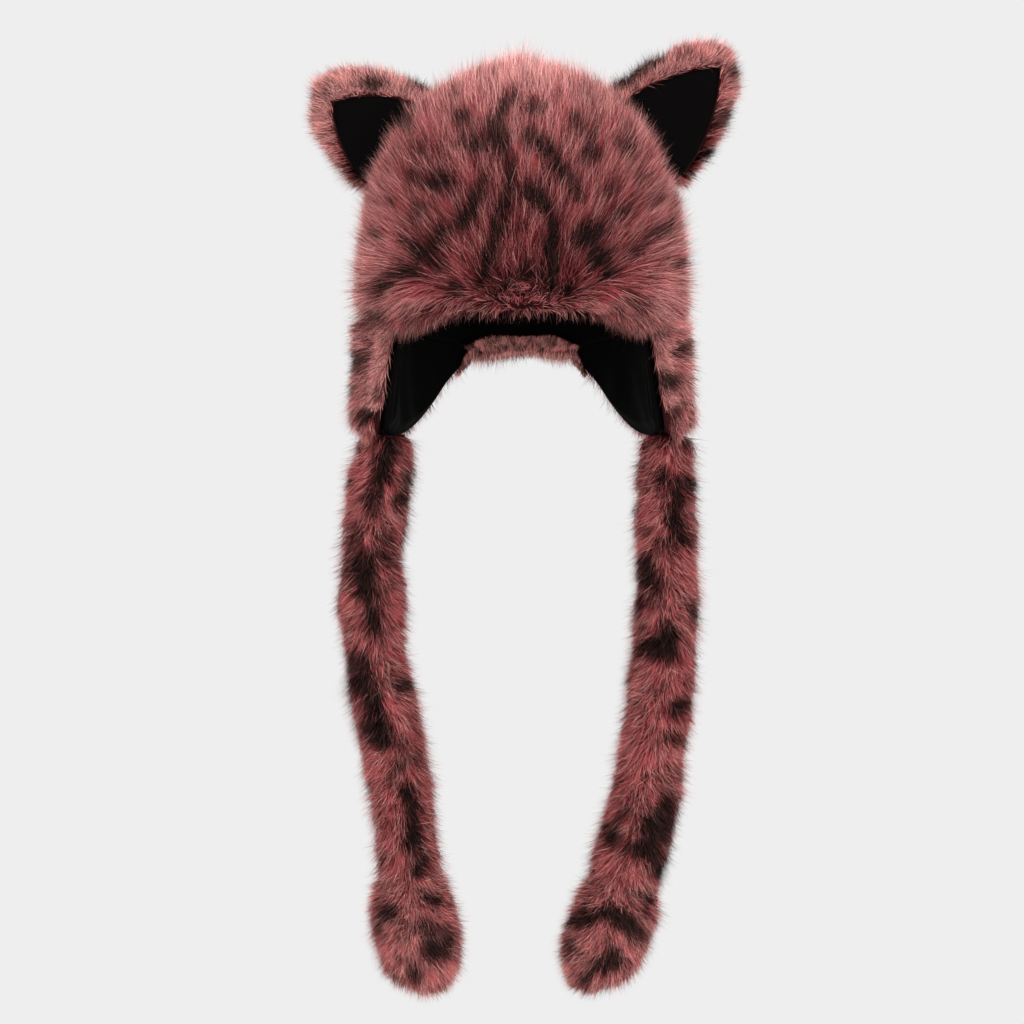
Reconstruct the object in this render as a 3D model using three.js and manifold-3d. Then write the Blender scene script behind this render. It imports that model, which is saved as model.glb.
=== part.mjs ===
// Earflap hat of deep plush fur, with two ears and two long ties that end in paws.
// Millimetres, +Z up, the face looks along -Y. The origin is the centre of the head opening,
// at the height of the front rim: that is where a head carries the hat.
import * as THREE from 'three';
import Module from 'manifold-3d';

// Clearance between pieces that touch
const GAP = 0.3;

// Head hollow, inside the lining
const HEAD_WIDTH = 164;
const HEAD_DEPTH = 200;
const HEAD_HEIGHT = 145;
// The dome's outline is (out / half width) ^ side + (high / height) ^ top = 1: steep, full sides
// and a softly pointed top
const DOME_OUTLINE = { side: 1.6, top: 3.7 };
// How much lower the hem lies at the nape than at the forehead
const NAPE_DROP = 14;

// Cloth and fur
const LINING_WALL = 3;
const HIDE = 2;
const PILE = 32;
const LOCK_SPACING = 9;
const LOCK_LEAN = 4;
// Locks at the hem hang past it, at the forehead and at the nape
const BROW_FRINGE = 4;
const NAPE_FRINGE = 15;

// Ear flaps: height below the rim, padding, pile, how far the tip stands out from the head
const FLAP_HEIGHT = 74;
const FLAP_PAD = 10;
const FLAP_PILE = 24;
const FLAP_SPLAY = 6;
// Turn around the head, in degrees from the middle of the face
const BROW_FADE_TURN = 20;
const FLAP_FRONT_TURN = 66;
const FLAP_SLANT_TURN = 12;
const FLAP_BACK_TURN = 153;
const TIE_TURN = 98;

// Ears
const EAR_WIDTH = 86;
const EAR_HEIGHT = 83;
const EAR_DEPTH = 32;
const EAR_ROOT = 30;
const EAR_SETBACK = 4;
const EAR_LOCK = 5;
const EAR_PANEL_WIDTH = 62;
const EAR_PANEL_HEIGHT = 68;
const EAR_PANEL_WALL = 2;
// An ear's outline is |p / half width| ^ side + (q / height) ^ tip = 1
const EAR_OUTLINE = { side: 1.6, tip: 2.1 };
const EAR_PANEL_OUTLINE = { side: 1.15, tip: 1.7 };

// Ties and paws, pile included
const TIE_LENGTH = 305;
const TIE_WIDTH = 47;
const TIE_SWAY = 25;
const TIE_LOCK = 5;
const PAW_LENGTH = 84;
const PAW_WIDTH = 62;
const PAW_DEPTH = 52;

// Facets
const HALF_COLUMNS = 16;
const WALL_ROWS = 10;
const FLAP_COLUMNS = 10;
const FLAP_ROWS = 5;
const FLAP_LOCK_COLUMNS = 18;
const FLAP_LOCK_ROWS = 9;
const TUBE_COLUMNS = 14;
const EAR_COLUMNS = 28;
const ENVELOPE_COLUMNS = 72;
const ENVELOPE_ROWS = 24;

const ROSE_FUR = { color: '#8e4f50', roughness: 0.9, metalness: 0 };
const BLACK_CLOTH = { color: '#0d0c0c', roughness: 0.85, metalness: 0 };

// Hem of an ear flap from its front edge (across 0) to its back edge (across 1).
// drop is a share of FLAP_HEIGHT.
const FLAP_HEM = [
  { across: 0.00, drop: 0.76 },
  { across: 0.05, drop: 0.92 },
  { across: 0.15, drop: 1.00 },
  { across: 0.38, drop: 0.98 },
  { across: 0.52, drop: 0.92 },
  { across: 0.64, drop: 0.80 },
  { across: 0.76, drop: 0.60 },
  { across: 0.87, drop: 0.36 },
  { across: 0.95, drop: 0.22 },
  { across: 1.00, drop: 0.14 },
];

// Each side's own pose. An ear rises by earRise degrees from level. earX and earZ are shares of
// the crown's outer half width and height, earHeight of EAR_HEIGHT, earLean of EAR_WIDTH,
// panelHeight of EAR_PANEL_HEIGHT, panelAlong, towards the lower corner, of EAR_PANEL_WIDTH.
// out is a share of TIE_SWAY, positive away from the other tie; wide is a share of TIE_WIDTH.
const SIDES = [
  {
    name: 'left',
    sign: -1,
    earRise: 34,
    earX: 0.74,
    earZ: 0.69,
    earHeight: 0.82,
    earLean: -0.03,
    panelHeight: 0.71,
    panelAlong: 0.07,
    tie: [
      { down: 0.00, out: -0.10, wide: 0.76 },
      { down: 0.10, out: 0.06, wide: 1.02 },
      { down: 0.24, out: 0.26, wide: 0.96 },
      { down: 0.38, out: 0.30, wide: 1.06 },
      { down: 0.50, out: 0.18, wide: 0.96 },
      { down: 0.62, out: -0.08, wide: 1.06 },
      { down: 0.80, out: -0.48, wide: 1.00 },
      { down: 1.00, out: -0.76, wide: 0.98 },
    ],
    pawOut: [-0.76, -1.15],
  },
  {
    name: 'right',
    sign: 1,
    earRise: 43,
    earX: 0.74,
    earZ: 0.70,
    earHeight: 1.00,
    earLean: -0.07,
    panelHeight: 0.98,
    panelAlong: 0.05,
    tie: [
      { down: 0.00, out: 0.12, wide: 0.74 },
      { down: 0.10, out: 0.12, wide: 0.92 },
      { down: 0.25, out: 0.16, wide: 0.98 },
      { down: 0.45, out: 0.10, wide: 1.02 },
      { down: 0.62, out: -0.08, wide: 1.04 },
      { down: 0.80, out: -0.42, wide: 1.10 },
      { down: 0.93, out: -0.78, wide: 1.18 },
      { down: 1.00, out: -1.00, wide: 1.14 },
    ],
    pawOut: [-1.02, -1.88],
  },
];

// Sections of a paw from the tie (down 0) to its end (down 1); wide is a share of its width.
const PAW_SECTIONS = [
  { down: 0.00, wide: 0.74 },
  { down: 0.12, wide: 0.86 },
  { down: 0.28, wide: 0.97 },
  { down: 0.46, wide: 1.00 },
  { down: 0.64, wide: 0.98 },
  { down: 0.80, wide: 0.87 },
  { down: 0.92, wide: 0.62 },
  { down: 0.98, wide: 0.34 },
];

// Rings of an ear from its front face to the middle of its back.
// grow is a share of the outline, back a share of EAR_DEPTH.
const EAR_RINGS = [
  { grow: 0.66, back: 0.00 },
  { grow: 0.90, back: 0.02 },
  { grow: 1.00, back: 0.20 },
  { grow: 0.97, back: 0.46 },
  { grow: 0.80, back: 0.74 },
  { grow: 0.50, back: 0.92 },
];

// Tips and valleys of the locks, as shares of the pile
const TIP_SHARE = 1.0;
const VALLEY_SHARE = 0.76;
// The pile thins towards an edge of the cloth
const EDGE_PILE_SHARE = 0.72;
const FLAP_EDGE_PILE_SHARE = 0.42;

const halfWidth = HEAD_WIDTH / 2;
const halfDepth = HEAD_DEPTH / 2;
const crownHide = LINING_WALL + GAP;
const crownPile = HIDE + PILE;
const crownHalf = halfWidth + crownHide + crownPile;
const crownTop = HEAD_HEIGHT + crownHide + crownPile;
const flapHide = FLAP_PAD + GAP;
const flapPile = HIDE + FLAP_PILE;

const radians = THREE.MathUtils.degToRad;
const { lerp, clamp, smoothstep } = THREE.MathUtils;

// Value of a table's column at a place between its rows, on a smooth curve through the rows
function along(table, placeKey, valueKey, place) {
  const last = table.length - 1;
  let row = 0;
  while (row < last - 1 && place > table[row + 1][placeKey]) row += 1;
  const slope = (index) => {
    const before = table[Math.max(index - 1, 0)];
    const after = table[Math.min(index + 1, last)];
    return (after[valueKey] - before[valueKey]) / (after[placeKey] - before[placeKey]);
  };
  const [from, to] = [table[row], table[row + 1]];
  const span = to[placeKey] - from[placeKey];
  const s = clamp((place - from[placeKey]) / span, 0, 1);
  const risen = s * s * (3 - 2 * s);
  const leave = s * (1 - s) * (1 - s) * span * slope(row);
  const arrive = s * s * (s - 1) * span * slope(row + 1);
  return lerp(from[valueKey], to[valueKey], risen) + leave + arrive;
}

// A repeatable number from -1 to 1 for a lock, so that no two neighbours are alike
function unlike(row, column) {
  return Math.sin(row * 12.9 + column * 78.2);
}

// Notes on a point whether it is a lock's tip or a valley
function mark(point, tip) {
  return Object.assign(point, { tip });
}

// A closed surface put together from rows of points
class Skin {
  constructor() {
    this.points = [];
    this.faces = [];
  }

  row(points) {
    const first = this.points.length;
    this.points.push(...points);
    return points.map((_, index) => first + index);
  }

  ring(points) {
    const indices = this.row(points);
    return points.length > 1 ? [...indices, indices[0]] : indices;
  }

  // Triangles between an upper and a lower row, each seen from outside from left to right.
  // Where the rows keep step, no triangle's edge joins two lock tips.
  stitch(upper, lower) {
    const [upperLast, lowerLast] = [upper.length - 1, lower.length - 1];
    let [i, j] = [0, 0];
    while (i < upperLast || j < lowerLast) {
      const ahead = (i + 1) * lowerLast - (j + 1) * upperLast;
      const upperIsTip = this.points[upper[i]].tip !== false;
      const upperTurn = ahead < 0 || (ahead === 0 && upperIsTip);
      if (i < upperLast && (j >= lowerLast || upperTurn)) {
        this.faces.push(upper[i], lower[j], upper[i + 1]);
        i += 1;
      } else {
        this.faces.push(upper[i], lower[j], lower[j + 1]);
        j += 1;
      }
    }
  }

  stitchAll(rows) {
    for (let index = 1; index < rows.length; index += 1) this.stitch(rows[index - 1], rows[index]);
  }

  geometry() {
    const volume = new THREE.Vector3();
    let total = 0;
    for (let f = 0; f < this.faces.length; f += 3) {
      const [a, b, c] = [0, 1, 2].map((corner) => this.points[this.faces[f + corner]]);
      total += volume.crossVectors(b, c).dot(a);
    }
    if (total < 0) this.faces.reverse();
    const geometry = new THREE.BufferGeometry().setFromPoints(this.points);
    geometry.setIndex(this.faces);
    geometry.computeVertexNormals();
    return geometry;
  }
}

// Solid between an outer and an inner sheet of rows that are open at both ends
function padGeometry(outerRows, innerRows) {
  const skin = new Skin();
  const outer = outerRows.map((points) => skin.row(points));
  const inner = innerRows.map((points) => skin.row(points));
  const first = (rows) => rows.map((row) => row[0]);
  const last = (rows) => rows.map((row) => row[row.length - 1]);
  skin.stitchAll([...outer, ...[...inner].reverse(), outer[0]]);
  skin.stitch(first(outer), first(inner));
  skin.stitch(last(inner), last(outer));
  return skin.geometry();
}

// Solid inside a stack of rings, from the top point to the bottom point
function stackGeometry(rings) {
  const skin = new Skin();
  skin.stitchAll(rings.map((points) => skin.ring(points)));
  return skin.geometry();
}

function piece(name, geometry, look) {
  const mesh = new THREE.Mesh(geometry, new THREE.MeshStandardMaterial(look));
  mesh.name = name;
  return mesh;
}

// Quarter outline of the dome: how far out and how high, both as shares, at even steps along it
const domeProfile = (() => {
  const meanRadius = (halfWidth + halfDepth) / 2;
  const steps = 48;
  const points = [];
  for (let step = 0; step <= steps; step += 1) {
    const angle = (Math.PI / 2) * (step / steps);
    const out = Math.sin(angle) ** (2 / DOME_OUTLINE.side);
    const high = Math.max(Math.cos(angle), 0) ** (2 / DOME_OUTLINE.top);
    points.push(new THREE.Vector2(out * meanRadius, high * HEAD_HEIGHT));
  }
  const curve = new THREE.SplineCurve(points);
  const length = curve.getLength();
  const at = (share) => {
    const point = curve.getPointAt(clamp(share, 0, 1));
    return { out: point.x / meanRadius, high: Math.max(point.y, 0) / HEAD_HEIGHT };
  };
  return { length, at };
})();

// Height of the hem, falling from the flap's front edge to the nape
function hemHeight(turn) {
  return -NAPE_DROP * smoothstep(turn, FLAP_FRONT_TURN - FLAP_SLANT_TURN, 180);
}

// Point on the dome: turn in degrees from the face, share 0 at the top and 1 at the hem,
// offset outwards from the head hollow
function domePoint(turn, share, offset) {
  const below = -hemHeight(turn);
  const travelled = share * (domeProfile.length + below);
  const { out, high } = domeProfile.at(travelled / domeProfile.length);
  const angle = radians(turn);
  return new THREE.Vector3(
    out * (halfWidth + offset) * Math.sin(angle),
    -out * (halfDepth + offset) * Math.cos(angle),
    high * (HEAD_HEIGHT + offset) - Math.max(travelled - domeProfile.length, 0),
  );
}

// Direction in which the pile stands
function domeOut(turn, share) {
  return domePoint(turn, share, 1).sub(domePoint(turn, share, 0)).normalize();
}

// The nap is brushed up and away from the middle of the front rim
function domeNap(point, out) {
  const nap = point.clone().sub(new THREE.Vector3(0, -halfDepth, 0));
  return nap.addScaledVector(out, -nap.dot(out)).normalize();
}

function liningGeometry() {
  const columns = 2 * HALF_COLUMNS;
  const rings = (offset) => {
    const rows = [[domePoint(0, 0, offset)]];
    for (let row = 1; row <= WALL_ROWS; row += 1) {
      const ring = [];
      for (let column = 0; column < columns; column += 1) {
        const turn = 180 * (column / HALF_COLUMNS);
        const point = domePoint(turn > 180 ? 360 - turn : turn, row / WALL_ROWS, offset);
        if (turn > 180) point.x = -point.x;
        ring.push(point);
      }
      rows.push(ring);
    }
    return rows;
  };
  const outer = rings(LINING_WALL);
  const inner = rings(0);
  return stackGeometry([...outer, ...inner.reverse()]);
}

// One lock point of the crown: tips and valleys alternate over the rows
function crownLock(column, columns, share, row) {
  const turn = 180 * (column / columns);
  const step = 180 / columns;
  const tip = (row + column) % 2 === 0;
  const thinning = lerp(1, EDGE_PILE_SHARE, smoothstep(share, 0.9, 1));
  const uneven = tip ? 1 - 0.04 * (1 + unlike(row, column)) : 1;
  const height = crownPile * (tip ? TIP_SHARE : VALLEY_SHARE) * thinning * uneven;
  const point = domePoint(turn, share, crownHide + height);
  if (tip && share < 1) {
    const out = domeOut(turn, share);
    point.addScaledVector(domeNap(point, out), LOCK_LEAN * smoothstep(share, 0, 0.15));
  }
  if (share === 1) {
    const faded = smoothstep(turn + step, FLAP_FRONT_TURN - BROW_FADE_TURN, FLAP_FRONT_TURN);
    const brow = BROW_FRINGE * (1 - faded);
    const nape = turn - step > FLAP_BACK_TURN ? NAPE_FRINGE : 0;
    point.z -= (brow + nape) * (tip ? 1 : 0.7);
  }
  return mark(point, tip);
}

function crownGeometry(sign) {
  const seam = (point) => {
    point.x = Math.max(point.x, GAP / 2) * sign;
    return point;
  };
  const lockRows = Math.round((domeProfile.length + PILE) / LOCK_SPACING);
  const outer = [[seam(domePoint(0, 0, crownHide + crownPile * VALLEY_SHARE))]];
  for (let row = 1; row <= lockRows; row += 1) {
    const share = row / lockRows;
    const { out } = domeProfile.at(share);
    const halfRound = Math.PI * out * ((halfWidth + halfDepth) / 2 + crownPile / 2);
    const columns = Math.max(3, Math.round(halfRound / LOCK_SPACING));
    const points = [];
    for (let column = 0; column <= columns; column += 1) {
      points.push(seam(crownLock(column, columns, share, row)));
    }
    outer.push(points);
  }
  const inner = [[seam(domePoint(0, 0, crownHide))]];
  for (let row = 1; row <= WALL_ROWS; row += 1) {
    const points = [];
    for (let column = 0; column <= HALF_COLUMNS; column += 1) {
      points.push(seam(domePoint(180 * (column / HALF_COLUMNS), row / WALL_ROWS, crownHide)));
    }
    inner.push(points);
  }
  return padGeometry(outer, inner);
}

// Point on an ear flap: across 0 at its front edge, down 0 at the rim and 1 at its hem
function flapPoint(sign, across, down, offset) {
  const turn = lerp(FLAP_FRONT_TURN + FLAP_SLANT_TURN * down, FLAP_BACK_TURN, across);
  const drop = FLAP_HEIGHT * along(FLAP_HEM, 'across', 'drop', across);
  const top = hemHeight(turn) - GAP;
  const low = hemHeight(turn) - drop;
  const z = lerp(top, low, down);
  const splay = FLAP_SPLAY * clamp(-z / FLAP_HEIGHT, 0, 1);
  const angle = radians(turn);
  return new THREE.Vector3(
    sign * (halfWidth + offset + splay) * Math.sin(angle),
    -(halfDepth + offset + splay) * Math.cos(angle),
    z,
  );
}

// 1 well inside a flap, 0 on its edges other than the one sewn to the rim
function inside(across, down, reach) {
  const nearest = Math.min(across, 1 - across, 1 - down);
  return smoothstep(nearest, 0, reach);
}

function flapSheet(columns, rows, place) {
  const sheet = [];
  for (let row = 0; row <= rows; row += 1) {
    const points = [];
    for (let column = 0; column <= columns; column += 1) {
      points.push(place(column / columns, row / rows, row, column));
    }
    sheet.push(points);
  }
  return sheet;
}

function flapLiningGeometry(sign) {
  const reach = 0.2;
  const thin = (across, down) => 0.25 * (1 - inside(across, down, reach));
  const outer = flapSheet(FLAP_COLUMNS, FLAP_ROWS, (across, down) =>
    flapPoint(sign, across, down, FLAP_PAD * (1 - thin(across, down))));
  const inner = flapSheet(FLAP_COLUMNS, FLAP_ROWS, (across, down) =>
    flapPoint(sign, across, down, FLAP_PAD * thin(across, down)));
  return padGeometry(outer, inner);
}

function flapGeometry(sign) {
  const reach = 0.22;
  const outer = flapSheet(FLAP_LOCK_COLUMNS, FLAP_LOCK_ROWS, (across, down, row, column) => {
    const tip = (row + column) % 2 === 0;
    const thinning = lerp(FLAP_EDGE_PILE_SHARE, 1, inside(across, down, reach));
    const height = flapPile * thinning * (tip ? TIP_SHARE : VALLEY_SHARE);
    return mark(flapPoint(sign, across, down, flapHide + height), tip);
  });
  const inner = flapSheet(FLAP_COLUMNS, FLAP_ROWS, (across, down) =>
    flapPoint(sign, across, down, flapHide));
  return padGeometry(outer, inner);
}

// Lowest point of a flap, under which its tie is sewn on
function flapLowest() {
  const heights = flapSheet(FLAP_LOCK_COLUMNS, 1, (across) => flapPoint(1, across, 1, 0).z);
  return Math.min(...heights[1]);
}

const tieTop = flapLowest() - GAP;
const tieCentre = {
  x: (halfWidth + FLAP_PAD + FLAP_SPLAY) * Math.sin(radians(TIE_TURN)),
  y: -(halfDepth + FLAP_PAD + FLAP_SPLAY) * Math.cos(radians(TIE_TURN)),
};

// Level ring of lock points around a tie or paw
function lockRing(centre, width, depth, lock, row) {
  const points = [];
  for (let column = 0; column < TUBE_COLUMNS; column += 1) {
    const tip = (row + column) % 2 === 0;
    const angle = 2 * Math.PI * (column / TUBE_COLUMNS);
    const fall = tip ? 0 : lock * (0.9 + 0.1 * unlike(row, column));
    const x = centre.x + (width / 2 - fall) * Math.cos(angle);
    const y = centre.y + (depth / 2 - fall) * Math.sin(angle);
    points.push(mark(new THREE.Vector3(x, y, centre.z), tip));
  }
  return points;
}

function tieGeometry(side) {
  const rows = Math.round(TIE_LENGTH / LOCK_SPACING);
  const rings = [];
  for (let row = 0; row <= rows; row += 1) {
    const down = row / rows;
    const out = TIE_SWAY * along(side.tie, 'down', 'out', down);
    const wide = TIE_WIDTH * along(side.tie, 'down', 'wide', down);
    const centre = new THREE.Vector3(
      side.sign * (tieCentre.x + out),
      tieCentre.y,
      tieTop - TIE_LENGTH * down,
    );
    rings.push(lockRing(centre, wide, wide, TIE_LOCK, row));
    if (row === 0) rings.unshift([centre]);
    if (row === rows) rings.push([centre]);
  }
  return stackGeometry(rings);
}

function pawGeometry(side) {
  const rows = Math.round(PAW_LENGTH / LOCK_SPACING);
  const top = tieTop - TIE_LENGTH - GAP;
  const lastDown = PAW_SECTIONS[PAW_SECTIONS.length - 1].down;
  const centreAt = (down) => new THREE.Vector3(
    side.sign * (tieCentre.x + TIE_SWAY * lerp(side.pawOut[0], side.pawOut[1], down)),
    tieCentre.y,
    top - PAW_LENGTH * down,
  );
  const rings = [[centreAt(0)]];
  for (let row = 0; row <= rows; row += 1) {
    const down = lastDown * Math.sin((Math.PI / 2) * (row / rows));
    const wide = along(PAW_SECTIONS, 'down', 'wide', down);
    const lock = TIE_LOCK * wide;
    rings.push(lockRing(centreAt(down), PAW_WIDTH * wide, PAW_DEPTH * wide, lock, row));
  }
  rings.push([centreAt(1)]);
  return stackGeometry(rings);
}

// Outline of an ear at an angle from its lower corner, over the tip, to the other corner and
// down into the crown. p runs along the crown, q away from it.
function earOutline(angle, width, height, root, power) {
  const [sine, cosine] = [Math.sin(angle), Math.cos(angle)];
  const reach = sine > 0 ? height : root;
  return {
    p: (width / 2) * Math.sign(cosine) * Math.abs(cosine) ** (2 / power.side),
    q: Math.sign(sine) * reach * Math.abs(sine) ** (2 / power.tip),
  };
}

// Places a point of an ear's own frame in the hat
function earPlace(side, p, q, back) {
  const rise = radians(side.earRise);
  const leaning = p + side.earLean * EAR_WIDTH * (q / EAR_HEIGHT);
  return new THREE.Vector3(
    side.sign * (side.earX * crownHalf + q * Math.cos(rise) + leaning * Math.sin(rise)),
    EAR_SETBACK + back,
    side.earZ * crownTop + q * Math.sin(rise) - leaning * Math.cos(rise),
  );
}

function earGeometry(side) {
  const height = EAR_HEIGHT * side.earHeight;
  const middle = height * 0.3;
  const rings = [[earPlace(side, 0, middle, 0)]];
  EAR_RINGS.forEach((section, row) => {
    const points = [];
    for (let column = 0; column < EAR_COLUMNS; column += 1) {
      const angle = 2 * Math.PI * (column / EAR_COLUMNS);
      const { p, q } = earOutline(angle, EAR_WIDTH, height, EAR_ROOT, EAR_OUTLINE);
      const tip = (row + column) % 2 === 0;
      const length = Math.hypot(p, q - middle);
      const locked = row > 0 && !tip ? 1 - EAR_LOCK / length : 1;
      const grow = section.grow * locked;
      const point = earPlace(side, p * grow, lerp(middle, q, grow), section.back * EAR_DEPTH);
      points.push(mark(point, tip));
    }
    rings.push(points);
  });
  rings.push([earPlace(side, 0, middle, EAR_DEPTH)]);
  return stackGeometry(rings);
}

function earPanelGeometry(side) {
  const height = EAR_PANEL_HEIGHT * side.panelHeight;
  const shift = EAR_PANEL_WIDTH * side.panelAlong;
  const face = (back) => {
    const points = [];
    for (let column = 0; column < EAR_COLUMNS; column += 1) {
      const angle = 2 * Math.PI * (column / EAR_COLUMNS);
      const { p, q } = earOutline(angle, EAR_PANEL_WIDTH, height, EAR_ROOT / 2, EAR_PANEL_OUTLINE);
      points.push(earPlace(side, p + shift, q, back));
    }
    return points;
  };
  const [front, rear] = [-GAP - EAR_PANEL_WALL, -GAP];
  const middle = (back) => [earPlace(side, shift, 0, back)];
  return stackGeometry([middle(front), face(front), face(rear), middle(rear)]);
}

// The space that the crown fills, with its tallest locks and a clearance
function crownEnvelope() {
  const offset = crownHide + crownPile + GAP;
  const rings = [[domePoint(0, 0, offset)]];
  for (let row = 1; row <= ENVELOPE_ROWS; row += 1) {
    const ring = [];
    for (let column = 0; column < ENVELOPE_COLUMNS; column += 1) {
      const turn = 360 * (column / ENVELOPE_COLUMNS);
      const point = domePoint(turn > 180 ? 360 - turn : turn, row / ENVELOPE_ROWS, offset);
      if (turn > 180) point.x = -point.x;
      ring.push(point);
    }
    rings.push(ring);
  }
  rings.push([new THREE.Vector3(0, 0, 0)]);
  return stackGeometry(rings);
}

const wasm = await Module();
wasm.setup();

function solid(geometry) {
  const vertProperties = new Float32Array(geometry.getAttribute('position').array);
  const triVerts = new Uint32Array(geometry.getIndex().array);
  return new wasm.Manifold(new wasm.Mesh({ numProp: 3, vertProperties, triVerts }));
}

function cutAway(geometry, cutter) {
  const { vertProperties, triVerts } = solid(geometry).subtract(solid(cutter)).getMesh();
  const cut = new THREE.BufferGeometry();
  cut.setAttribute('position', new THREE.BufferAttribute(vertProperties, 3));
  cut.setIndex(new THREE.BufferAttribute(triVerts, 1));
  cut.computeVertexNormals();
  return cut;
}

const hat = new THREE.Group();
const envelope = crownEnvelope();
hat.add(piece('lining', liningGeometry(), BLACK_CLOTH));
for (const side of SIDES) {
  hat.add(piece(`crown_${side.name}`, crownGeometry(side.sign), ROSE_FUR));
  hat.add(piece(`flap_lining_${side.name}`, flapLiningGeometry(side.sign), BLACK_CLOTH));
  hat.add(piece(`flap_${side.name}`, flapGeometry(side.sign), ROSE_FUR));
  hat.add(piece(`ear_${side.name}`, cutAway(earGeometry(side), envelope), ROSE_FUR));
  hat.add(piece(`ear_panel_${side.name}`, cutAway(earPanelGeometry(side), envelope), BLACK_CLOTH));
  hat.add(piece(`tie_${side.name}`, tieGeometry(side), ROSE_FUR));
  hat.add(piece(`paw_${side.name}`, pawGeometry(side), ROSE_FUR));
}

export default hat;
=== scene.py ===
# %% [markdown]
# # A plush earflap hat with ears and paw ties
#
# The real hat is sewn from deep fake fur over a smooth black lining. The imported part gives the
# true form of each piece. This notebook puts the real surfaces in their place: hundreds of
# thousands of hairs on a thick undercoat, soft black cloth, and the light of a small studio.

import bpy
import numpy as np
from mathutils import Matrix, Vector, kdtree


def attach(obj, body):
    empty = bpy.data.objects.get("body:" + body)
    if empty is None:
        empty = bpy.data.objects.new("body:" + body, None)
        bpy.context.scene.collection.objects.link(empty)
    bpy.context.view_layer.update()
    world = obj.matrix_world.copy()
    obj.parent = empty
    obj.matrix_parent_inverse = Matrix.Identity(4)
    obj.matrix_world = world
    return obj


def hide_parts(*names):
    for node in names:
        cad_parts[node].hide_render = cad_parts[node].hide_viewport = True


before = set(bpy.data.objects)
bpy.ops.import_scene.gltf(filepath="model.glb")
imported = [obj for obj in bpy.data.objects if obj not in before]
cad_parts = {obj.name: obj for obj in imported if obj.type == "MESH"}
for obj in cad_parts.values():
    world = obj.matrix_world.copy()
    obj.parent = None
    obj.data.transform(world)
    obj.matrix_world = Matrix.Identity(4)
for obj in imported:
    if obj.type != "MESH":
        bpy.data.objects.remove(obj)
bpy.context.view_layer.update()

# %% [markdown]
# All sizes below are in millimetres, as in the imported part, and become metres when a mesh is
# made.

MM = 0.001
print("pieces:", ", ".join(sorted(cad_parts)))

# %% [markdown]
# ## Small helpers
#
# Soft steps, unit vectors and smooth curves through a table of values are all that the forms
# need. `ripple` is a calm, repeatable unevenness made of a few waves, for things that no
# sewing makes quite even.

# %% Helpers for numbers
def smoothstep(low, high, value):
    s = np.clip((value - low) / (high - low), 0, 1)
    return s * s * (3 - 2 * s)


DOWN = np.array([0, 0, -1.0])


def unit(vectors):
    return vectors / np.maximum(np.linalg.norm(vectors, axis=-1, keepdims=True), 1e-9)


def blend(a, b, share):
    return a + (b - a) * share


def through(rows, place):
    """A smooth curve through rows of (place, value)."""
    at, value = np.asarray(rows, float).T
    wide = np.diff(at)
    slope = np.empty(len(at))
    slope[1:-1] = (value[2:] - value[:-2]) / (at[2:] - at[:-2])
    slope[0], slope[-1] = (value[1] - value[0]) / wide[0], (value[-1] - value[-2]) / wide[-1]
    row = np.clip(np.searchsorted(at, place) - 1, 0, len(at) - 2)
    s = np.clip((place - at[row]) / wide[row], 0, 1)
    leave = s * (1 - s) ** 2 * wide[row] * slope[row]
    arrive = s * s * (s - 1) * wide[row] * slope[row + 1]
    return blend(value[row], value[row + 1], s * s * (3 - 2 * s)) + leave + arrive


def share_grid(rows, columns, first=0.0):
    """Shares from first to 1 along the rows and from 0 to 1 along the columns."""
    down, across = np.linspace(first, 1, rows), np.linspace(0, 1, columns)
    return np.meshgrid(down, across, indexing="ij")


def ripple(points, size, seed):
    """Calm unevenness from about -1 to 1, with bumps about size millimetres wide."""
    rng = np.random.default_rng(seed)
    total = np.zeros(points.shape[:-1])
    for _ in range(7):
        wave = unit(rng.normal(size=3)) * rng.uniform(0.7, 1.4) * np.pi / size
        total += np.sin(points @ wave + rng.uniform(0, 2 * np.pi))
    return total / 3


# %% [markdown]
# ## The form of the crown
#
# The head hollow is an oval dome, steep at the sides and softly pointed on top. A place on it
# is a turn around the head in degrees from the middle of the face, and a share of the way
# from the top down to the hem. The hem lies 14 mm lower at the nape than at the forehead.

# %% The dome
HEAD_WIDTH, HEAD_DEPTH, HEAD_HEIGHT = 164, 200, 145
NAPE_DROP, DROP_FROM = 14, 54
LINING_WALL = 3
GAP = 0.3
CROWN_HIDE = LINING_WALL + GAP
CROWN_PILE = 34

# How much the dome bulges sideways and upwards: 2 would be an ellipse
SIDE_POWER, TOP_POWER = 1.6, 3.7

angles = np.linspace(0, np.pi / 2, 900)
profile_out = np.sin(angles) ** (2 / SIDE_POWER)
profile_high = np.maximum(np.cos(angles), 0) ** (2 / TOP_POWER)
steps_out = np.diff(profile_out) * (HEAD_WIDTH + HEAD_DEPTH) / 4
steps_high = np.diff(profile_high) * HEAD_HEIGHT
profile_way = np.concatenate([[0], np.cumsum(np.hypot(steps_out, steps_high))])


def hem_height(turn):
    return -NAPE_DROP * smoothstep(DROP_FROM, 180, turn)


def dome(turn, share, offset):
    travelled = share * (profile_way[-1] - hem_height(turn))
    on_dome = np.minimum(travelled, profile_way[-1])
    out = np.interp(on_dome, profile_way, profile_out)
    high = np.interp(on_dome, profile_way, profile_high)
    angle = np.radians(turn)
    x = out * (HEAD_WIDTH / 2 + offset) * np.sin(angle)
    y = -out * (HEAD_DEPTH / 2 + offset) * np.cos(angle)
    z = high * (HEAD_HEIGHT + offset) - np.maximum(travelled - profile_way[-1], 0)
    return np.stack([x, y, z], -1)


print(f"dome: {profile_way[-1]:.0f} mm from the top to the rim")

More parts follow.
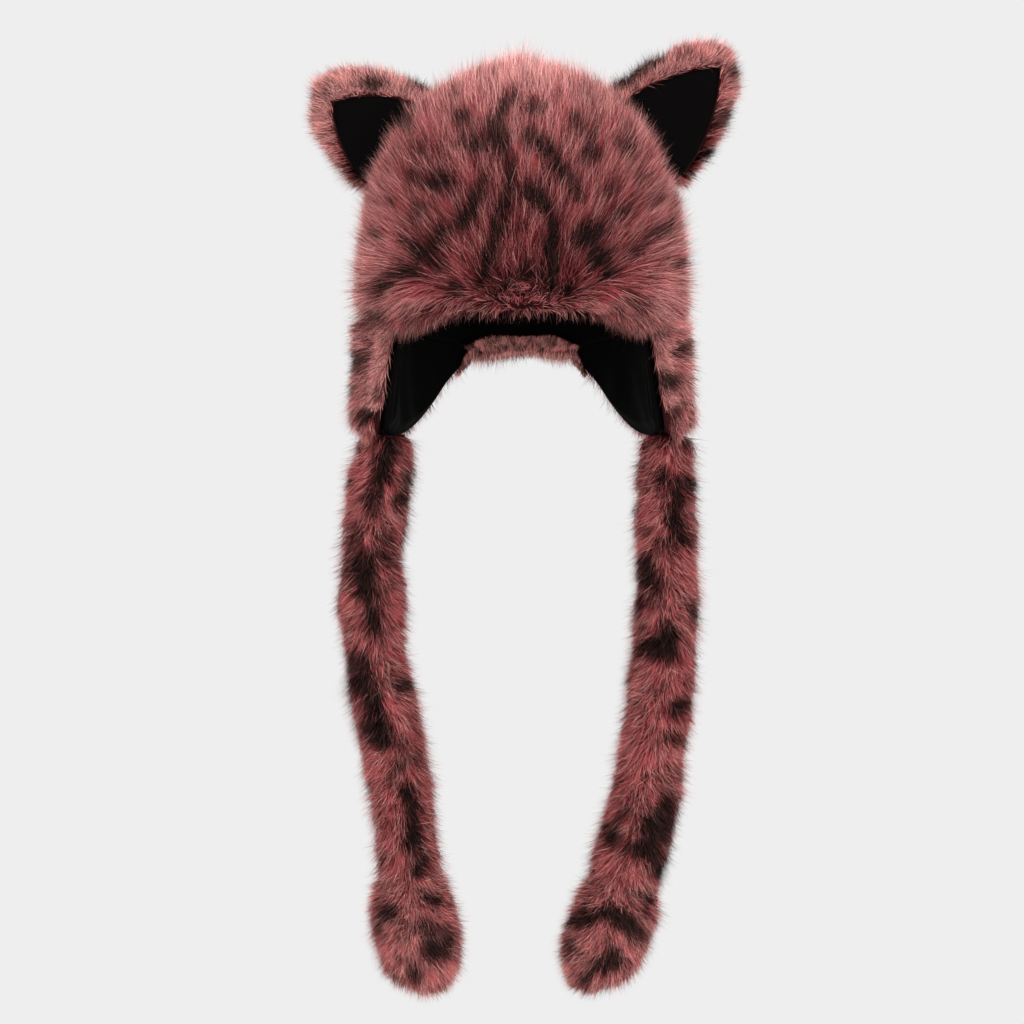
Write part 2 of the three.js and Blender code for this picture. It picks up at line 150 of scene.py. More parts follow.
# %% [markdown]
# ## Making a mesh quickly
#
# A coat holds up to 100,000 hairs, so points and faces go to Blender as whole arrays. Each
# point carries three fur values: how dark its spot is, how light this one hair is, and how
# far along the hair it lies. The map `OFBake` gives every hair its own small place for a
# texture.

# %% Mesh from arrays
def place_object(name, data):
    made = bpy.data.objects.new(name, data)
    bpy.context.scene.collection.objects.link(made)
    return made


def make_mesh(name, points, quads, tris, fur=None, uv=None, normals=None):
    mesh = bpy.data.meshes.new(name)
    corners = np.concatenate([quads.ravel(), tris.ravel()]).astype(np.int32)
    starts = np.concatenate([4 * np.arange(len(quads)), 4 * len(quads) + 3 * np.arange(len(tris))])
    mesh.vertices.add(len(points))
    mesh.vertices.foreach_set("co", (points * MM).astype(np.float32).ravel())
    mesh.loops.add(len(corners))
    mesh.loops.foreach_set("vertex_index", corners)
    mesh.polygons.add(len(starts))
    mesh.polygons.foreach_set("loop_start", starts.astype(np.int32))
    mesh.polygons.foreach_set("use_smooth", np.ones(len(starts), bool))
    if fur is not None:
        colour = np.ones((len(points), 4), np.float32)
        colour[:, :3] = fur
        mesh.attributes.new("fur", "FLOAT_COLOR", "POINT").data.foreach_set("color", colour.ravel())
    if uv is not None:
        layer = mesh.uv_layers.new(name="OFBake")
        layer.data.foreach_set("uv", uv[corners].astype(np.float32).ravel())
    mesh.update(calc_edges=True)
    mesh.validate()
    if normals is not None:
        mesh.normals_split_custom_set_from_vertices(normals.astype(np.float32))
    return place_object(name, mesh)


def grid_quads(rows, columns, first=0):
    """Faces of a sheet of rows x columns points."""
    index = first + np.arange(rows * columns).reshape(rows, columns)
    corners = [index[:-1, :-1], index[:-1, 1:], index[1:, 1:], index[1:, :-1]]
    return np.stack(corners, -1).reshape(-1, 4)


def closed_sheet(outer, inner):
    """Points and faces of the solid between two sheets of the same rows and columns."""
    rows, columns = outer.shape[:2]
    points = np.concatenate([outer.reshape(-1, 3), inner.reshape(-1, 3)])
    half = rows * columns
    rim = np.concatenate([
        np.arange(columns),
        columns * np.arange(1, rows) + columns - 1,
        half - 2 - np.arange(columns - 1),
        columns * np.arange(rows - 2, 0, -1),
        [0],
    ])
    wall = np.stack([rim[1:], rim[:-1], rim[:-1] + half, rim[1:] + half], -1)
    faces = np.concatenate([grid_quads(rows, columns), grid_quads(rows, columns, half)[:, ::-1], wall])
    return points, faces


# %% [markdown]
# ## The spots
#
# The fur is printed with dark brown spots and stripes. They are charted from the front: each
# row has the place (across, up) of a spot, its half width and half height, its darkness and, if
# it leans, the lean in degrees. The photo doesn't show the back, so the back carries the same
# print turned round, as cloth cut from one roll would.

# %% Charted spots
CROWN_SPOTS = [
    (-57, 96, 9, 5.5, 1), (-77, 100, 4.1, 4.1, 0.8), (-71, 118, 4.8, 3.4, 0.7), (-32, 122, 8.3, 5.5, 0.8),
    (-14, 124, 4.1, 8.3, 0.7), (-41, 140, 6.2, 4.8, 0.6, 20), (-14, 146, 15.2, 3.4, 1, 56),
    (8, 147, 6.2, 4.8, 0.6), (36, 138, 5.5, 4.8, 0.55), (46, 130, 5.5, 4.1, 0.6),
    (6, 127, 4.8, 4.8, 0.9, -40), (16, 118, 8.3, 4.1, 0.95, -45), (27, 105, 8.3, 4.1, 0.9, -52),
    (37, 91, 8.3, 3.4, 0.7, -58), (48, 114, 6.2, 4.8, 0.95), (73, 122, 6.2, 4.1, 0.8, -30),
    (82, 100, 4.1, 3.4, 0.6), (-8, 102, 3.4, 10.3, 0.8), (10, 85, 10.3, 4.8, 1, -42),
    (-30, 90, 8.3, 4.8, 0.6, 62), (-39, 75, 11, 5.5, 0.75, 60), (-12, 83, 11, 3.4, 0.8, 72),
    (-17, 68, 11, 3.4, 0.9, 74), (-23, 48, 12.4, 3.4, 1, 72), (-28, 30, 8.3, 3.4, 0.9, 70),
    (-59, 58, 10.3, 4.8, 0.8, 48), (-70, 46, 6.2, 5.5, 1, 40), (-77, 35, 6.2, 4.1, 0.7, 50),
    (-73, 76, 6.2, 3.4, 0.7, 45), (-80, 54, 4.8, 4.1, 0.6), (21, 64, 8.3, 3.4, 0.9, 88),
    (21, 49, 11, 4.1, 1, 88), (20, 31, 8.3, 3.4, 0.9, 88), (46, 60, 10.3, 6.2, 0.75, 40),
    (54, 45, 7.6, 5.5, 0.9, 40), (63, 33, 6.2, 4.1, 0.8, 20), (34, 25, 4.8, 4.1, 0.7),
    (70, 78, 8.3, 4.1, 0.6, 30), (96, 62, 7.6, 3.4, 0.75, 10), (-99, 22, 5.5, 4.8, 1),
    (-87, 34, 6.2, 4.1, 0.7, 30), (-50, 23, 5.5, 4.8, 0.6, 60), (1, 35, 5.5, 6.2, 0.6, 80),
    (-12, 25, 4.1, 5.5, 0.5, 80), (85, 10, 5.5, 4.1, 0.8), (-83, 138, 4.8, 8.3, 0.6, 50),
    (-101, 58, 4.8, 3.4, 0.5, 20), (109, 40, 4.8, 3.4, 0.6), (-103, 2, 5.5, 4.1, 0.7),
    (81, 49, 6.2, 4.1, 0.6, 25), (61, 90, 6.2, 3.4, 0.6, 40), (-58, 38, 6.2, 3.4, 0.6, 55),
    (43, 159, 5.5, 4.1, 0.4), (-46, 158, 5.5, 3.4, 0.35), (92, 83, 5.5, 3.4, 0.5, 30),
    (-91, 83, 4.1, 3.4, 0.5),
]
EAR_SPOTS = [
    (77, 174, 15.2, 4.8, 1, 38), (90, 183, 6.9, 4.1, 1, 30), (140, 140, 3.4, 5.5, 1),
    (131, 114, 4.1, 4.8, 0.9), (-66, 165, 8.3, 5.5, 0.9, -25), (-103, 164, 6.2, 4.1, 0.7),
    (-128, 140, 4.1, 4.1, 0.5), (-117, 104, 4.1, 3.4, 0.6), (147, 171, 4.1, 4.8, 0.6),
    (-138, 155, 3.4, 4.1, 0.4),
]
FLAP_SPOTS = [
    (-114, -28, 4.8, 5.5, 0.9), (-110, -66, 5.5, 4.1, 0.9), (-99, -51, 4.1, 4.8, 0.5),
    (-110, -3, 6.2, 3.4, 0.6), (102, -42, 6.2, 4.8, 0.8), (96, -6, 5.5, 4.1, 0.8),
    (112, -20, 4.1, 4.8, 0.6), (106, -63, 5.5, 3.4, 0.5), (-119, -49, 3.4, 4.8, 0.5),
]
TIE_LEFT_SPOTS = [
    (-91, -91, 5.5, 9.7, 1, -15), (-96, -104, 6.2, 9.7, 1, -15), (-101, -117, 6.2, 8.3, 0.8, -10),
    (-103, -129, 6.2, 7.6, 0.7), (-78, -112, 3.4, 6.9, 1, -15), (-83, -124, 4.1, 6.2, 0.9, -15),
    (-120, -111, 3.4, 3.4, 0.8), (-92, -151, 4.8, 6.2, 0.7), (-116, -152, 5.5, 8.3, 0.7),
    (-98, -162, 5.5, 5.5, 0.7), (-90, -166, 4.8, 4.8, 0.9), (-111, -173, 8.3, 9, 1),
    (-108, -186, 7.6, 7.6, 1), (-95, -189, 4.1, 5.5, 0.6), (-103, -204, 5.5, 6.9, 0.9),
    (-103, -213, 4.8, 5.5, 1), (-114, -237, 8.3, 7.6, 0.8), (-112, -251, 9, 8.3, 0.9),
    (-81, -252, 6.9, 4.1, 1), (-103, -265, 6.9, 7.6, 0.9), (-101, -281, 8.3, 6.2, 1),
    (-97, -291, 7.6, 4.1, 1), (-82, -293, 4.1, 5.5, 0.6), (-72, -304, 2.8, 4.1, 0.7),
    (-88, -311, 4.8, 8.3, 0.6, -35), (-79, -328, 5.5, 6.2, 1), (-74, -341, 4.8, 8.3, 0.95, -20),
    (-75, -358, 5.5, 9, 1, -10), (-69, -378, 4.8, 8.3, 0.95, -15), (-99, -376, 3.4, 2.8, 0.6),
    (-98, -220, 6.2, 4.1, 0.5),
]
PAW_LEFT_SPOTS = [
    (-61, -400, 6.9, 3.4, 0.9, -15), (-94, -408, 6.9, 4.8, 0.9, 15), (-63, -419, 9.7, 5.5, 0.7, -10),
    (-59, -435, 9, 6.2, 1, -10), (-51, -426, 4.8, 6.9, 0.8), (-75, -452, 4.8, 6.2, 0.8),
    (-98, -420, 2.8, 5.5, 0.7),
]
TIE_RIGHT_SPOTS = [
    (112, -84, 5.5, 5.5, 1), (96, -109, 4.8, 6.2, 0.9), (89, -83, 3.4, 4.1, 0.5),
    (108, -121, 6.2, 8.3, 0.85), (119, -115, 4.1, 4.8, 0.9), (106, -140, 6.2, 7.6, 0.95),
    (112, -152, 4.8, 4.8, 1), (97, -155, 6.2, 4.1, 0.8), (86, -145, 3.4, 4.1, 0.6), (85, -173, 5.5, 9.7, 1),
    (93, -183, 5.5, 5.5, 0.95), (82, -194, 4.8, 4.1, 0.8), (92, -198, 5.5, 3.4, 0.6),
    (119, -200, 3.4, 5.5, 0.95), (100, -219, 7.6, 7.6, 1), (91, -227, 9.7, 6.2, 1),
    (101, -231, 6.2, 5.5, 1), (108, -269, 6.2, 5.5, 1), (115, -264, 3.4, 3.4, 0.8),
    (106, -289, 8.3, 3.4, 0.8), (110, -315, 2.8, 4.1, 0.6), (101, -335, 6.2, 7.6, 1),
    (94, -350, 9.7, 9.7, 1), (86, -366, 11.7, 6.9, 1), (96, -380, 6.2, 5.5, 1),
    (68, -343, 6.2, 3.4, 0.8, 30), (61, -357, 5.5, 6.9, 1), (79, -262, 4.1, 4.1, 0.3),
]
PAW_RIGHT_SPOTS = [
    (57, -378, 7.6, 5.5, 0.8), (79, -389, 6.2, 4.1, 0.8, -30), (87, -402, 3.4, 9.7, 0.9, -15),
    (62, -409, 11.7, 4.1, 0.95, 3), (43, -413, 9, 5.5, 1, 15), (70, -415, 9.7, 4.8, 1, -12),
    (79, -422, 6.9, 5.5, 1, -30), (58, -445, 11, 4.8, 1, 5), (63, -439, 4.8, 5.5, 0.9),
    (43, -455, 4.1, 4.1, 1), (32, -433, 3.4, 6.2, 0.7),
]

# %% [markdown]
# The chart is as seen by the camera, 2 m in front of the head and 132 mm below the rim. A
# point further back looks nearer to the middle, so `seen` brings each point to one plane
# before the chart is read.

# %% Reading the chart
EYE_DISTANCE, EYE_HEIGHT = 2000, -132
# A spot is full up to this share of its half width, and gone past the other
SPOT_FULL, SPOT_FADED = 0.7, 2.15


def seen(points):
    near = EYE_DISTANCE / (EYE_DISTANCE + points[..., 1])
    return points[..., 0] * near, (points[..., 2] - EYE_HEIGHT) * near + EYE_HEIGHT


def chart_value(chart, across, up):
    dark = np.zeros(across.shape)
    for a, b, wide, tall, strength, *lean in chart:
        angle = np.radians(sum(lean))
        cosine, sine = np.cos(angle), np.sin(angle)
        p = ((across - a) * cosine + (up - b) * sine) / wide
        q = ((up - b) * cosine - (across - a) * sine) / tall
        dark = np.maximum(dark, strength * smoothstep(SPOT_FADED, SPOT_FULL, np.hypot(p, q)))
    return dark


def darkness(points, chart, middle, behind):
    """How dark the print is: the chart in front of the depth middle, the turned print behind it."""
    across, up = seen(points)
    front = chart_value(chart, across, up)
    turned_across, turned_up = behind(across, up)
    back = chart_value(chart, turned_across, turned_up)
    return blend(front, back, smoothstep(middle - 8, middle + 14, points[..., 1]))


def upright_print(chart, middle, up_shift):
    """A print whose back repeats the front, moved down by up_shift."""
    return lambda points: darkness(points, chart, middle, lambda across, up: (across, up + up_shift))


# %% [markdown]
# ## Growing hair
#
# A hair is a narrow blade of three triangles: two points at the root, two in the middle and
# one at the tip. It leaves the cloth along `out` and bends over along the nap, the way the
# fur was brushed. Neighbours lean to a leader hair, which gathers them in soft locks. The
# blade faces outwards and is shaded partly like the surface it covers, which keeps the coat
# soft instead of glittering.

# %% Scattering roots
def scatter(place, count, rng, density=None, cells=140):
    """Roots spread evenly over the surface place(u, v)."""
    edge = np.linspace(0, 1, cells + 1)
    u, v = np.meshgrid(edge, edge, indexing="ij")
    points = place(u, v)
    area = np.linalg.norm(
        np.cross(points[1:, :-1] - points[:-1, :-1], points[:-1, 1:] - points[:-1, :-1]), axis=-1
    )
    if density is not None:
        area = area * density((u[1:, 1:] + u[:-1, :-1]) / 2, (v[1:, 1:] + v[:-1, :-1]) / 2)
    share = np.cumsum(area.ravel())
    picks = (np.arange(count) + rng.random(count)) / count * share[-1]
    cell = np.minimum(np.searchsorted(share, picks), cells * cells - 1)
    return (cell // cells + rng.random(count)) / cells, (cell % cells + rng.random(count)) / cells


def facing(place, u, v, away):
    """Directions square to the surface, on the side of away."""
    step = 0.004
    across = place(np.clip(u + step, 0, 1), v) - place(np.clip(u - step, 0, 1), v)
    down = place(u, np.clip(v + step, 0, 1)) - place(u, np.clip(v - step, 0, 1))
    square = unit(np.cross(across, down))
    return square * np.where(np.sum(square * away, -1, keepdims=True) < 0, -1, 1)


def level(direction, out):
    """The part of a direction that lies in the surface."""
    return unit(direction - out * np.sum(direction * out, -1, keepdims=True))


# %% Growing blades
BLADE_WIDTH = 0.5
# One hair in so many is a leader
LEADER_EVERY = 38
# From hair to hair: turn of the nap and lean, in degrees, and the range of lengths
NAP_UNEVEN, LEAN_UNEVEN, LENGTHS = 16, 10, (0.72, 1.12)


def turned(nap, out, degrees):
    """The nap turned within the surface."""
    angle = np.radians(degrees)[:, None]
    return nap * np.cos(angle) + np.cross(out, nap) * np.sin(angle)


def leaning(out, nap, degrees):
    """A direction that leans from out towards the nap."""
    angle = np.radians(degrees)[:, None]
    return out * np.cos(angle) + nap * np.sin(angle)


def grow(root, out, nap, length, lean, rng, droop=0.0, gather=0.4, swirl=14, seed=1):
    """Blades of hair. lean is (at the root, at the tip), in degrees from out towards the nap."""
    count = len(root)
    nap = turned(nap, out, rng.normal(0, NAP_UNEVEN, count) + swirl * ripple(root, 24, seed))
    uneven = 6 * ripple(root, 17, seed + 50) + rng.normal(0, LEAN_UNEVEN, count)
    leave = leaning(out, nap, np.clip(lean[0] + uneven, 0, 88))
    arrive = leaning(out, nap, np.clip(lean[1] + uneven, 0, 100))
    arrive[:, 2] -= droop
    arrive = unit(arrive)
    length = (length * rng.uniform(*LENGTHS, count))[:, None]
    mid = root + length * 0.5 * unit(leave * 0.8 + arrive * 0.2)
    tip = mid + length * 0.5 * arrive
    leaders = rng.permutation(count)[: max(count // LEADER_EVERY, 1)]
    tree = kdtree.KDTree(len(leaders))
    for number, leader in enumerate(leaders):
        tree.insert(root[leader], number)
    tree.balance()
    follow = leaders[np.array([tree.find(p)[1] for p in root])]
    pull = (gather * rng.uniform(0.3, 1.3, count))[:, None]
    spread = root - root[follow]
    mid = mid + (mid[follow] + spread * 0.6 - mid) * pull * 0.5
    tip = tip + (tip[follow] + spread * 0.3 - tip) * pull
    along = unit(tip - root)
    flat = turned(unit(np.cross(along, out)), along, rng.normal(0, 30, count))
    half = flat * (BLADE_WIDTH * rng.uniform(0.7, 1.2, count))[:, None] / 2
    points = np.stack([root - half, root + half, mid + half * 0.85, mid - half * 0.85, tip], 1)
    normal = unit(out * 0.75 + np.cross(flat, along) * 0.45 + rng.normal(0, 0.08, (count, 3)))
    return {
        "points": points,
        "normal": normal,
        "where": blend(mid, tip, 0.5),
        "lock": rng.normal(0, 1, count)[follow],
    }


# %% [markdown]
# Over the dense blades lie the guard hairs: longer, finer and paler, and not so well brushed. One
# thin triangle each is enough for them, and they give the coat its fine crossing lines.

# %% Growing guard hairs
GUARD_WIDTH = 0.38
GUARD_LEAN_UNEVEN, GUARD_LENGTHS = 11, (0.65, 1.15)


def guard_hairs(root, out, nap, length, lean, rng, spread=20):
    """Straight fine hairs that lean, in degrees, from out towards the nap."""
    count = len(root)
    nap = turned(nap, out, rng.normal(0, spread, count))
    along = leaning(out, nap, np.clip(lean + rng.normal(0, GUARD_LEAN_UNEVEN, count), 4, 95))
    reach = along * (length * rng.uniform(*GUARD_LENGTHS, count))[:, None]
    flat = unit(np.cross(along, out) + rng.normal(0, 0.3, (count, 3)))
    half = flat * GUARD_WIDTH / 2
    return {
        "points": np.stack([root - half, root + half, root + reach], 1),
        "normal": unit(out + rng.normal(0, 0.2, (count, 3))),
        "where": root + reach * 0.7,
        "lock": rng.normal(0, 1, count),
    }


def both_kinds(place, counts, rng, rooted, density=None):
    """Blades, then guard hairs, over place(u, v).

    rooted(u, v) gives the roots, out and nap, and the settings of blades and of guard hairs.
    """
    patches = []
    for number, (count, kind) in enumerate(zip(counts, (grow, guard_hairs))):
        u, v = scatter(place, count, rng, density=density)
        root, out, nap, *settings = rooted(u, v)
        patch = kind(root, out, nap, rng=rng, **settings[number])
        patches.append(patch | {"u": u, "v": v})
    return patches


# %% [markdown]
# A coat is one mesh: the undercoat, which is the dense fluff that no light passes, and all the
# hair that grows from it. The undercoat has the near-black colour of the roots and is a little
# darker than the hair: partly the dye, partly painted shade deep in the pile. In its texture map
# the hairs stand in rows, sorted by their roots, in four fifths of the square, and the undercoat
# has the rest.

# %% Forms of hair and their places in the map
# Share of the map's width for the hairs
HAIR_SHARE = 0.8
# Undercoat darkness and place on the hair: a little dark and at the root colour, partly painted shade deep
# in the pile
UNDER_PAINTED_SHADE, UNDER_ALONG = 0.45, 0.10
# How far a hair's spot may be from its true place in millimetres, how uneven its darkness is,
# and how uneven single hairs and whole locks are in shade
SPOT_BLUR, SPOT_UNEVEN, HAIR_SHADES, LOCK_SHADES = 2.2, 0.08, 0.30, 0.28
# For a blade of 5 points and a guard hair of 3: the place in its cell of the map, how far
# along the hair each point counts, how much a paler or deeper tone moves that, and how
# uneven the tone is from hair to hair
HAIR_FORMS = {
    5: {
        "cell": [(0.12, 0.1), (0.88, 0.1), (0.82, 0.5), (0.18, 0.5), (0.5, 0.92)],
        "along": [0.04, 0.04, 0.40, 0.40, 0.66],
        "toned": [0.00, 0.00, 0.30, 0.30, 0.50],
        "uneven": 0.2,
    },
    3: {
        "cell": [(0.12, 0.1), (0.88, 0.1), (0.5, 0.92)],
        "along": [0.45, 0.45, 1.00],
        "toned": [0.30, 0.30, 0.40],
        "uneven": 0.6,
    },
}


def hair_cells(u, v):
    """Lower corners and size of each hair's cell. Neighbours on the hat are neighbours here."""
    count = len(u)
    columns = int(np.ceil(np.sqrt(count * HAIR_SHARE)))
    rows = int(np.ceil(count / columns))
    order = np.argsort(v, kind="stable")
    row = np.empty(count, int)
    row[order] = np.arange(count) // columns
    order = np.lexsort((u, row))
    column = np.empty(count, int)
    column[order] = np.arange(count) % columns
    size = np.array([HAIR_SHARE / columns, 1 / rows])
    return np.stack([column, row], -1) * size, size


# %% Putting a coat together
def make_coat(name, under, patches, print_at, tone_at, rng, slot):
    """The fur that stands for a node. print_at and tone_at give spot and paleness at points."""
    under_points, under_quads, under_tris, under_uv = under
    shade = np.full(len(under_points), UNDER_PAINTED_SHADE)
    along = UNDER_ALONG + 0.08 * tone_at(under_points)
    under_fur = np.clip(np.stack([print_at(under_points), shade, along], -1), 0, 1)
    under_uv = under_uv * [1 - HAIR_SHARE - 0.02, 0.98] + [HAIR_SHARE + 0.01, 0.01]
    points, furs, maps = [under_points], [under_fur], [under_uv]
    normals, quads, tris = [np.zeros((len(under_points), 3))], [under_quads], [under_tris]
    u, v = (np.concatenate([patch[key] for patch in patches]) for key in "uv")
    cells, cell_size = hair_cells(u, v)
    first, hairs = len(under_points), 0
    for patch in patches:
        count, corners = patch["points"].shape[:2]
        form = HAIR_FORMS[corners]
        where = patch["where"] + rng.normal(0, SPOT_BLUR, (count, 3))
        # A patch's paler is painted light on hair at the nape and rolled in under a hem: it raises the tone
        # and makes the spots fainter
        paler = patch.get("paler", 0.0)
        tone = tone_at(where) + paler + rng.normal(0, form["uneven"], count)
        fur = np.empty((count, corners, 3))
        spot = print_at(where) * (1 - 0.6 * np.minimum(paler, 1))
        shade = 0.5 + LOCK_SHADES * patch["lock"]
        fur[..., 0] = (spot + rng.normal(0, SPOT_UNEVEN, count))[:, None]
        fur[..., 1] = (shade + HAIR_SHADES * rng.normal(0, 1, count))[:, None]
        fur[..., 2] = np.array(form["along"]) + tone[:, None] * np.array(form["toned"])
        corner = first + corners * np.arange(count)[:, None]
        if corners == 5:
            quads.append(corner + np.array([0, 1, 2, 3]))
            tris.append(corner + np.array([3, 2, 4]))
        else:
            tris.append(corner + np.array([0, 1, 2]))
        points.append(patch["points"].reshape(-1, 3))
        furs.append(np.clip(fur, 0, 1).reshape(-1, 3))
        place = cells[hairs : hairs + count, None] + np.array(form["cell"]) * cell_size
        maps.append(place.reshape(-1, 2))
        normals.append(np.repeat(patch["normal"], corners, axis=0))
        first += corners * count
        hairs += count
    quads, tris = np.concatenate(quads), np.concatenate(tris)
    piece = make_mesh(
        f"fur_{name}", np.concatenate(points), quads, tris,
        fur=np.concatenate(furs), uv=np.concatenate(maps), normals=np.concatenate(normals),
    )
    piece.data.materials.append(FUR[slot])
    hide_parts(name)
    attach(piece, "root")
    print(f"fur_{name}: {hairs} hairs, {2 * len(quads) + len(tris)} triangles")
    return piece


# %% Undercoats and rolled edges
NO_TRIS = np.empty((0, 3), int)


def undercoat(outer, inner, u, v):
    """The undercoat between two sheets, whose faces share the map one above the other."""
    points, faces = closed_sheet(outer, inner)
    half = np.stack([u, v * 0.48], -1).reshape(-1, 2)
    return points, faces, NO_TRIS, np.concatenate([half, half + [0, 0.5]])


def even_tone(tone):
    return lambda points: tone + 0 * points[..., 0]


def rolled_in(place, count, length, rng, seed, reach, paler):
    """Hair on an edge that is rolled in under the hem, at the last part of the map. paler is painted light:
    it makes the hair paler than the shade there leaves it.
    """
    a, b = scatter(place, count, rng)
    root = place(a, b)
    inwards = -unit(root * [1, 1, 0])
    patch = grow(root, inwards, level(DOWN, inwards), length, (20, 62), rng, gather=0.15, seed=seed)
    return patch | {"u": 1 - reach + reach * a, "v": 1.02 + 0.02 * b, "paler": paler}


# %% [markdown]
# ## Fur colour
#
# Each hair is dark wine red at its root, dusty rose along the middle and pale at the tip; the
# roots are kept near black, which is partly painted shade deep in the pile. In a spot the same
# hair runs from near black to brown. One node group mixes this from the three fur values, so
# crown, flaps, ears and ties share one dye and differ only in their swatches.

# %% Fur colour group
def new_material(name):
    """A material, its node tree and its shader."""
    material = bpy.data.materials.new(name)
    material.use_nodes = True
    return material, material.node_tree, material.node_tree.nodes["Principled BSDF"]


def colour_mix(tree, factor, a, b):
    node = tree.nodes.new("ShaderNodeMix")
    node.data_type = "RGBA"
    for socket, value in ((node.inputs[0], factor), (node.inputs[6], a), (node.inputs[7], b)):
        if isinstance(value, bpy.types.NodeSocket):
            tree.links.new(value, socket)
        else:
            socket.default_value = value
    return node.outputs[2]


def stretch(tree, value, low, high, to_low=0.0, to_high=1.0):
    node = tree.nodes.new("ShaderNodeMapRange")
    node.interpolation_type = "SMOOTHSTEP"
    tree.links.new(value, node.inputs["Value"])
    ends = {"From Min": low, "From Max": high, "To Min": to_low, "To Max": to_high}
    for label, end in ends.items():
        node.inputs[label].default_value = end
    return node.outputs["Result"]


FUR_VALUES, FUR_COLOURS = ("Spot", "Shade", "Along"), ("Root", "Middle", "Tip")
BROWN = [(0.003, 0.002, 0.002, 1), (0.013, 0.006, 0.005, 1), (0.085, 0.038, 0.033, 1)]
fur_group = bpy.data.node_groups.new("fur_dye", "ShaderNodeTree")
for labels, kind in ((FUR_VALUES, "NodeSocketFloat"), (FUR_COLOURS, "NodeSocketColor")):
    for label in labels:
        fur_group.interface.new_socket(label, in_out="INPUT", socket_type=kind)
fur_group.interface.new_socket("Color", in_out="OUTPUT", socket_type="NodeSocketColor")
g_in, g_out = fur_group.nodes.new("NodeGroupInput"), fur_group.nodes.new("NodeGroupOutput")
lower = stretch(fur_group, g_in.outputs["Along"], 0.05, 0.6)
upper = stretch(fur_group, g_in.outputs["Along"], 0.58, 1.0)


def root_to_tip(root, middle, tip):
    return colour_mix(fur_group, upper, colour_mix(fur_group, lower, root, middle), tip)


rose = root_to_tip(*(g_in.outputs[label] for label in FUR_COLOURS))
brown = root_to_tip(*BROWN)
spotted = colour_mix(fur_group, stretch(fur_group, g_in.outputs["Spot"], 0.12, 0.62), rose, brown)
brightness = stretch(fur_group, g_in.outputs["Shade"], 0.0, 1.0, to_low=0.15, to_high=1.85)
scaled = fur_group.nodes.new("ShaderNodeVectorMath")
scaled.operation = "SCALE"
fur_group.links.new(spotted, scaled.inputs[0])
fur_group.links.new(brightness, scaled.inputs["Scale"])
fur_group.links.new(scaled.outputs[0], g_out.inputs["Color"])


# %% Fur materials
def fur_material(name, *colours):
    material, tree, shader = new_material(name)
    shader.inputs["Roughness"].default_value = 0.7
    shader.inputs["Specular IOR Level"].default_value = 0.06
    values = tree.nodes.new("ShaderNodeAttribute")
    values.attribute_name = "fur"
    parts = tree.nodes.new("ShaderNodeSeparateColor")
    tree.links.new(values.outputs["Color"], parts.inputs[0])
    dye = tree.nodes.new("ShaderNodeGroup")
    dye.node_tree = fur_group
    for channel, label in enumerate(FUR_VALUES):
        tree.links.new(parts.outputs[channel], dye.inputs[label])
    for label, colour in zip(FUR_COLOURS, colours):
        dye.inputs[label].default_value = (*colour, 1)
    tree.links.new(dye.outputs["Color"], shader.inputs["Base Color"])
    return material


# Root, middle and tip of each dye; the near-black roots are partly painted shade deep in the pile
SWATCHES = {
    "rose_fur": [(0.012, 0.002, 0.002), (0.270, 0.042, 0.048), (0.74, 0.345, 0.315)],
    "tie_fur": [(0.018, 0.003, 0.003), (0.400, 0.069, 0.075), (0.76, 0.39, 0.35)],
}
FUR = {name: fur_material(name, *colours) for name, colours in SWATCHES.items()}

# %% [markdown]
# ## The crown
#
# Each half of the crown is one piece of fur cloth, joined at the centre seam. The undercoat
# fills half of the pile. The nap starts at a parting, just above the rim in the middle of the
# forehead and 26 mm above it at the temples, and fans up over the head. Below the parting the
# hair hangs over the rim. Behind the ears the nap turns down to the nape.

# %% Crown surface and nap
UNDERCOAT = 0.52
PARTING_REACH, PARTING_SPREAD, PARTING_DEPTH, FAN_RISE = 60, 0.85, 112, 1.9
# Height of the parting above the rim, by the distance from the middle of the face
PARTING_HEIGHT = [(0, 2), (25, 5), (50, 15), (75, 26), (120, 20)]


def crown_place(sign, lift):
    def place(u, v):
        thin = 1 - 0.28 * smoothstep(0.9, 1, v)
        points = dome(180 * u, v, CROWN_HIDE + lift * thin)
        points[..., 0] *= sign
        return points

    return place


def from_parting(points):
    """The way from the parting to the points."""
    across = points[:, 0] - PARTING_SPREAD * np.clip(points[:, 0], -PARTING_REACH, PARTING_REACH)
    height = through(PARTING_HEIGHT, np.abs(points[:, 0]))
    return np.stack([across, points[:, 1] + PARTING_DEPTH, points[:, 2] - height], -1)


def crown_nap(points, out):
    fan = level(from_parting(points) * [1, 0.45, FAN_RISE], out)
    backwards = smoothstep(20, 100, points[:, 1])[:, None]
    return level(blend(fan, level(DOWN, out), backwards), out)


def crown_print(points):
    return darkness(points, CROWN_SPOTS, middle=38, behind=lambda across, up: (9 - across, up + 6))


# Paler and deeper areas, partly from how the hair was brushed and partly painted light on the top
# and the sides and painted shade in the middle of the front: place across and up, half width,
# half height, and how much paler
TONES_AND_PAINTED_LIGHT = [
    (0, 40, 62, 48, -0.55),
    (-8, 85, 45, 30, -0.25),
    (0, 172, 110, 22, 0.35),
    (-108, 60, 22, 75, 0.40),
    (108, 60, 22, 75, 0.30),
    (0, 8, 85, 18, 0.75),
    (-70, 95, 40, 40, -0.25),
    (75, 85, 40, 45, -0.15),
]


